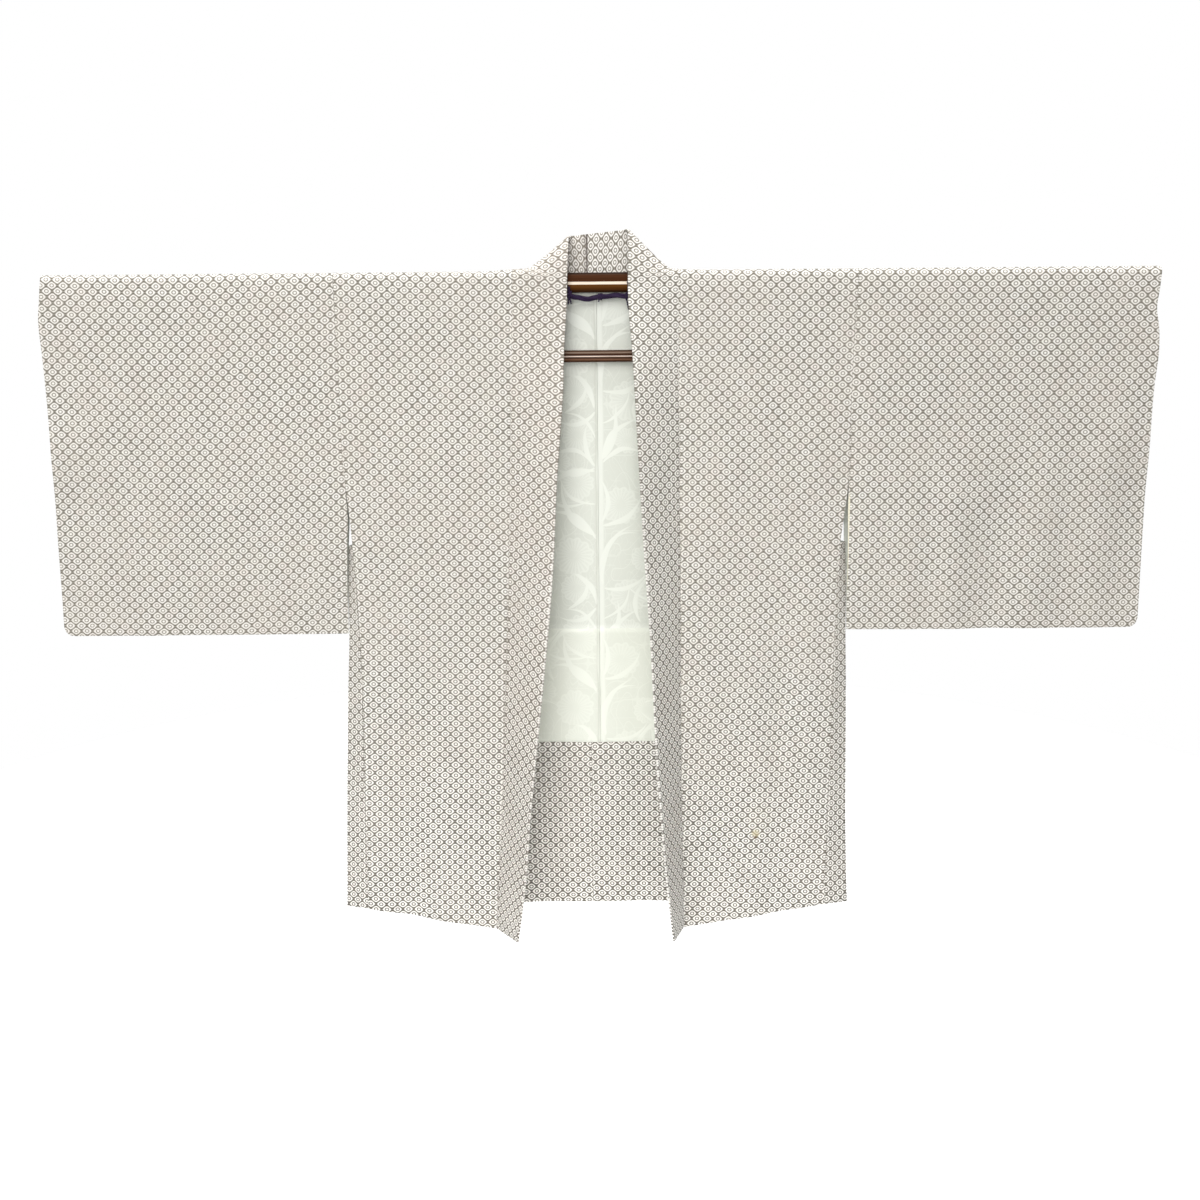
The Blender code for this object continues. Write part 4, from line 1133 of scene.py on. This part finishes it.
# How a piece's lattice lies: its phase, the slope of its rows and how that grows outwards, and
# the lean of its columns and how that grows along the cloth.
Lay = collections.namedtuple("Lay", "u v slope fan lean twist", defaults=(0,) * 4)
LAYS = {
    "body_panel_r": Lay(0.0021, 0.004, -0.055, 0.1, 0.002, 0.04),
    "body_panel_l": Lay(0.006, 0.0012, 0.045, -0.15, 0.000, -0.09),
    "sleeve_r": Lay(0.0095, 0.0066, 0.01, -0.2, 0.000, 0.08),
    "sleeve_l": Lay(0.0012, 0.009, 0.003, 0.06, -0.04, 0.15),
    "machi_r": Lay(0.003, 0.0075),
    "machi_l": Lay(0.0088, 0.0034),
    "collar_r": Lay(0.0034, 0.005, 0.12),
    "collar_l": Lay(0.0102, 0.0022, 0.07),
    "hem_facing_r": Lay(0.0052, 0.0084, -0.02, lean=0.01),
    "hem_facing_l": Lay(0.0007, 0.0118, 0.03, lean=0.01),
}


def laid(node, flat):
    """Places on the cloth, shifted and eased as the piece's lay says."""
    if node not in LAYS:
        return flat
    lay = LAYS[node]
    u, v = flat[..., 0], flat[..., 1]
    middle = (u.min() + u.max()) / 2
    wave_u = 0.0007 * np.sin(v * 14 + lay.u * 700) + 0.0005 * np.sin(v * 31 + u * 6)
    wave_v = 0.0007 * np.sin(u * 21 + lay.v * 600) + 0.0005 * np.sin(u * 13 - v * 9)
    slope = lay.slope * u + lay.fan * (u - middle) ** 2 / 2
    lean = lay.lean * v + lay.twist * v * abs(v) / 2
    return np.stack((u + lay.u + wave_u + lean, v + lay.v + wave_v + slope), axis=-1)


# Each piece's grid, thickness, height below which its inside shows the outer cloth too, and cut.
PIECES = {
    "body_panel": (body_panel, CLOTH, FACING_TOP, {"flat": (0.321, 1.655), "area": 0.425}),
    "sleeve": (sleeve, CLOTH, None, {"flat": (0.358, 0.893)}),
    "machi": (machi, CLOTH, FACING_TOP, {"flat": (0.066, 0.476), "area": 0.02}),
    "collar": (collar, COLLAR_CLOTH, None, {"flat": (0.065, 0.975)}),
    "lining_back": (lining_back, LINING_CLOTH, None, {"flat": (0.309, 0.577)}),
    "hem_facing": (hem_facing, CLOTH, None, {"flat": (0.3, 0.216)}),
}


def add_garment():
    cloth, inside = outer_cloth("outer_cloth"), lining()
    folds = {side: COLLAR_WIDTH * COLLAR_EASE[side] + LAYS[f"collar_{side}"].u for side in SIDES}
    # The collars' and the facing's shares: painted shade as grey-pink, darker lines, and painted light as
    # whiter cream.
    both_sides = {
        "collar_r": outer_cloth("collar_cloth_r", 0.09, 0.25, 0.1, folds["r"]),
        "collar_l": outer_cloth("collar_cloth_l", 0, 0.2, 0.6, folds["l"]),
        "lining_back_r": inside,
        "lining_back_l": inside,
    }
    both_sides["hem_facing_r"] = both_sides["hem_facing_l"] = outer_cloth("facing_cloth", 0, 0.1, 0.5)
    for side in SIDES:
        for kind, (grid, thickness, inner_from, cut) in PIECES.items():
            node = f"{kind}_{side}"
            lines, flat = grid(side)
            slots = (both_sides[node],) * 2 if node in both_sides else (cloth, inside)
            piece = sheet_of(node, lines, laid(node, flat), thickness, side, slots, inner_from)


# --- hanger ---


def reeded_profile():
    """Half of the lower bar's section, from its top down its front face, with three reeds."""
    half = LOWER_BAR_DEPTH / 2
    turns = np.radians((90, 67, 45, 22, 0))
    y, z = half - LOWER_BAR_ROUND * (1 - np.cos(turns)), -LOWER_BAR_ROUND * (1 - np.sin(turns))
    downs = np.arange(REEDS_TOP, 0.0113, 0.00035)
    reeds = abs(np.sin((downs - REEDS_TOP) / REEDS_HEIGHT * 3 * math.pi))
    face = (half - REED_DEPTH * (1 - reeds), -downs)
    low_corner = (y[::-1], -LOWER_BAR_HEIGHT - z[::-1])
    return np.concatenate(((y, z), face, low_corner), axis=1).T.tolist()


def lower_bar(material):
    half = reeded_profile()
    ring = [(LOWER_BAR_Y - y, LOWER_BAR_TOP + z) for y, z in half]
    ring += [(LOWER_BAR_Y + y, LOWER_BAR_TOP + z) for y, z in reversed(half)]
    count = len(ring)
    points = [(x * LOWER_BAR_LENGTH / 2, y, z) for x in (-1, -0.6, -0.2, 0.2, 0.6, 1) for y, z in ring]
    faces = [tuple(range(count)), tuple(reversed(range(5 * count, 6 * count)))]
    for start in range(0, 5 * count, count):
        for j, k in enumerate((*range(1, count), 0)):
            faces.append((start + k, start + j, start + count + j, start + count + k))
    mesh = mesh_from("lower_bar_reeded", points, faces)
    mesh.set_sharp_from_angle(angle=math.radians(50))
    mesh.materials.append(material)
    dressed(link(mesh.name, mesh), "lower_bar")


def route_through(points, step=CORD_STEP):
    points = np.array(points, float)
    lengths = lengths_along(points)
    count = max(2, round(lengths[-1] / step) + 1)
    return smooth(np.linspace(0, lengths[-1], count), lengths, points)


def twisted(name, route, radius, strands, lay, material):
    """A cord of strands laid round each other along a route."""
    tangents = np.gradient(route, axis=0)
    tangents /= np.linalg.norm(tangents, axis=1)[:, None]
    normal = unit(np.cross(tangents[0], ASIDE))
    normals = []
    for tangent in tangents:
        normal = unit(normal - tangent * normal.dot(tangent))
        normals.append(normal)
    normals = np.array(normals)
    binormals = np.cross(tangents, normals)
    curve = bpy.data.curves.new(name, "CURVE")
    share = STRAND_SHARES[strands]
    curve.dimensions, curve.use_fill_caps = "3D", True
    curve.bevel_depth, curve.bevel_resolution = radius * (1 - share), 3
    angles = lengths_along(route) / lay * math.tau
    for strand in range(strands):
        turn = angles + math.tau * strand / strands
        offset = normals * np.cos(turn)[:, None] + binormals * np.sin(turn)[:, None]
        points = route + offset * radius * share
        spline = curve.splines.new("POLY")
        spline.points.add(len(points) - 1)
        for place, point in zip(spline.points, points.tolist()):
            place.co = (*point, 1)
    curve.materials.append(material)
    return link(name, curve)


def cord_loop(side):
    """The open turn round the lower bar that ends a side cord."""
    reach = LOWER_BAR_ROUND + SEAM_GAP + CORD_RADIUS
    flat_y = LOWER_BAR_DEPTH / 2 - LOWER_BAR_ROUND
    flat_z = LOWER_BAR_HEIGHT / 2 - LOWER_BAR_ROUND
    middle = LOWER_BAR_TOP - LOWER_BAR_HEIGHT / 2
    across, up, turns = np.array([(*way, turn) for *way, turns in LOOP_CORNERS for turn in turns]).T
    y = LOWER_BAR_Y + across * flat_y + reach * np.cos(np.radians(turns))
    z = middle + up * flat_z + reach * np.sin(np.radians(turns))
    outs = CORD_LOOP_OUT + np.linspace(0, CORD_RADIUS * 2 + SEAM_GAP, len(turns))
    return np.column_stack((SIDES[side] * outs, y, z)).tolist()


def coil(turns, count):
    """Shares of the way along a coil, and the cosine and sine of its turns there."""
    shares = np.linspace(0, 1, count)
    return shares, np.cos(math.tau * turns * shares), np.sin(math.tau * turns * shares)


def knot_route():
    """Turns of a strand wrapped round the slack cord."""
    shares, cosines, sines = coil(KNOT_TURNS, 46)
    turns = (KNOT_HALF_WIDTH * (2 * shares - 1), KNOT_RADIUS * cosines, KNOT_RADIUS * sines)
    return KNOT_CENTRE + np.column_stack(turns)


def hitch_route(side):
    """Turns of the swag cord's end about the side cord that carries it."""
    shares, cosines, sines = coil(HITCH.turns, 42)
    outs = SIDES[side] * (HITCH.out + HITCH.radius * cosines)
    return np.column_stack((outs, HITCH.y + HITCH.radius * sines, HITCH.top - HITCH.drop * shares))


def add_hanger():
    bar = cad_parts["hanger_bar"]
    bar.data.materials.clear()
    bar.data.materials.append(lacquer())
    lower_bar(reeded_lacquer())
    purple = purple_cord()

    def cord(name, route, radius, strands, lay, node=None):
        dressed(twisted(name, route, radius, strands, lay, purple), node)

    for side, sign in SIDES.items():
        drop = [(sign * out, y, z) for out, y, z in SIDE_CORD] + cord_loop(side)
        cord(f"side_cord_{side}_laid", route_through(drop), CORD_RADIUS, 3, 0.011, f"side_cord_{side}")
        swag = route_through(SWAG[side])
        cord(f"swag_cord_{side}_laid", swag, SWAG_ROUND, 3, 0.075, f"swag_cord_{side}")
        cord(f"swag_hitch_{side}", hitch_route(side), HITCH_STRAND, 1, 1)
    cord("cord_knot_wrap", knot_route(), KNOT_STRAND, 1, 1, "cord_knot")
    for number, tail in enumerate(CORD_TAILS):
        cord(f"cord_tail_{number}", route_through(tail, 0.001), 0.001, 2, 0.006)


# --- studio ---


def add_camera():
    data = bpy.data.cameras.new("view")
    data.sensor_width, data.lens, data.clip_start = SENSOR, LENS, 0.05
    camera = link("view", data)
    tilt = Matrix.Rotation(math.radians(90 - CAMERA_PITCH), 4, "X")
    roll = Matrix.Rotation(math.radians(CAMERA_ROLL), 4, "Z")
    camera.matrix_world = Matrix.Translation(CAMERA_PLACE) @ tilt @ roll
    bpy.context.scene.camera = camera


def light(kind, name, power, **settings):
    data = bpy.data.lights.new(name, kind)
    data.energy = power
    for setting, value in settings.items():
        setattr(data, setting, value)
    return link(name, data)


def area_light(name, place, target_z, power, colour=(1, 1, 1)):
    lamp = light("AREA", name, power, shape="DISK", size=KEY_SIZE, color=colour)
    lamp.location = place
    way = Matrix.Translation((0, 0, target_z)).translation - lamp.location
    lamp.rotation_euler = way.to_track_quat("-Z", "Y").to_euler()


def add_studio():
    """A white room: the backdrop is plain white, and most light comes from in front."""
    sky = Graph("studio", "worlds", "Background")
    sky.put(sky.shader.inputs["Color"], (1, 1, 1, 1))
    seen = sky.make("LightPath", (), "Is Camera Ray")
    sky.put(sky.shader.inputs["Strength"], seen * (1 - AMBIENT) + AMBIENT)
    bpy.context.scene.world = sky.made
    area_light("key", KEY_PLACE, -0.35, KEY_POWER, (1, 0.995, 0.985))
    area_light("fill", FILL_PLACE, -0.45, FILL_POWER)
    area_light("behind", BACK_PLACE, -0.35, BACK_POWER)
    top = light("SUN", "top", TOP_STRENGTH, angle=math.radians(40))
    top.rotation_euler = (math.radians(8), 0, 0)
    turns = np.arange(96) / 96 * math.tau
    out, back = FLOOR_RADIUS * np.cos(turns), FLOOR_RADIUS * np.sin(turns) + FLOOR_BACK
    rim = np.stack((out, back, np.full(96, FLOOR_Z)), axis=1)
    floor = link("studio_floor", mesh_from("studio_floor", rim, [tuple(range(len(rim)))]))
    g = Graph("studio_floor")
    white = g.mix(g.noise(g.space(), 60, 2), (252, 252, 251), (255, 255, 254))
    floor.data.materials.append(g.finish(white, 0.9))
    view = bpy.context.scene.view_settings
    view.view_transform, view.look = "Standard", "None"


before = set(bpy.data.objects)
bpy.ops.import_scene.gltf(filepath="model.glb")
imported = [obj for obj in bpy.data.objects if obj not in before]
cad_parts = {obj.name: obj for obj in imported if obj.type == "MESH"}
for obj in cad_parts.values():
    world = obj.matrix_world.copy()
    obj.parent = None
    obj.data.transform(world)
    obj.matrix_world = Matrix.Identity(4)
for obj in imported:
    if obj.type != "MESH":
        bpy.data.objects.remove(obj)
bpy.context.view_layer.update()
add_camera()
add_garment()
add_hanger()
add_studio()
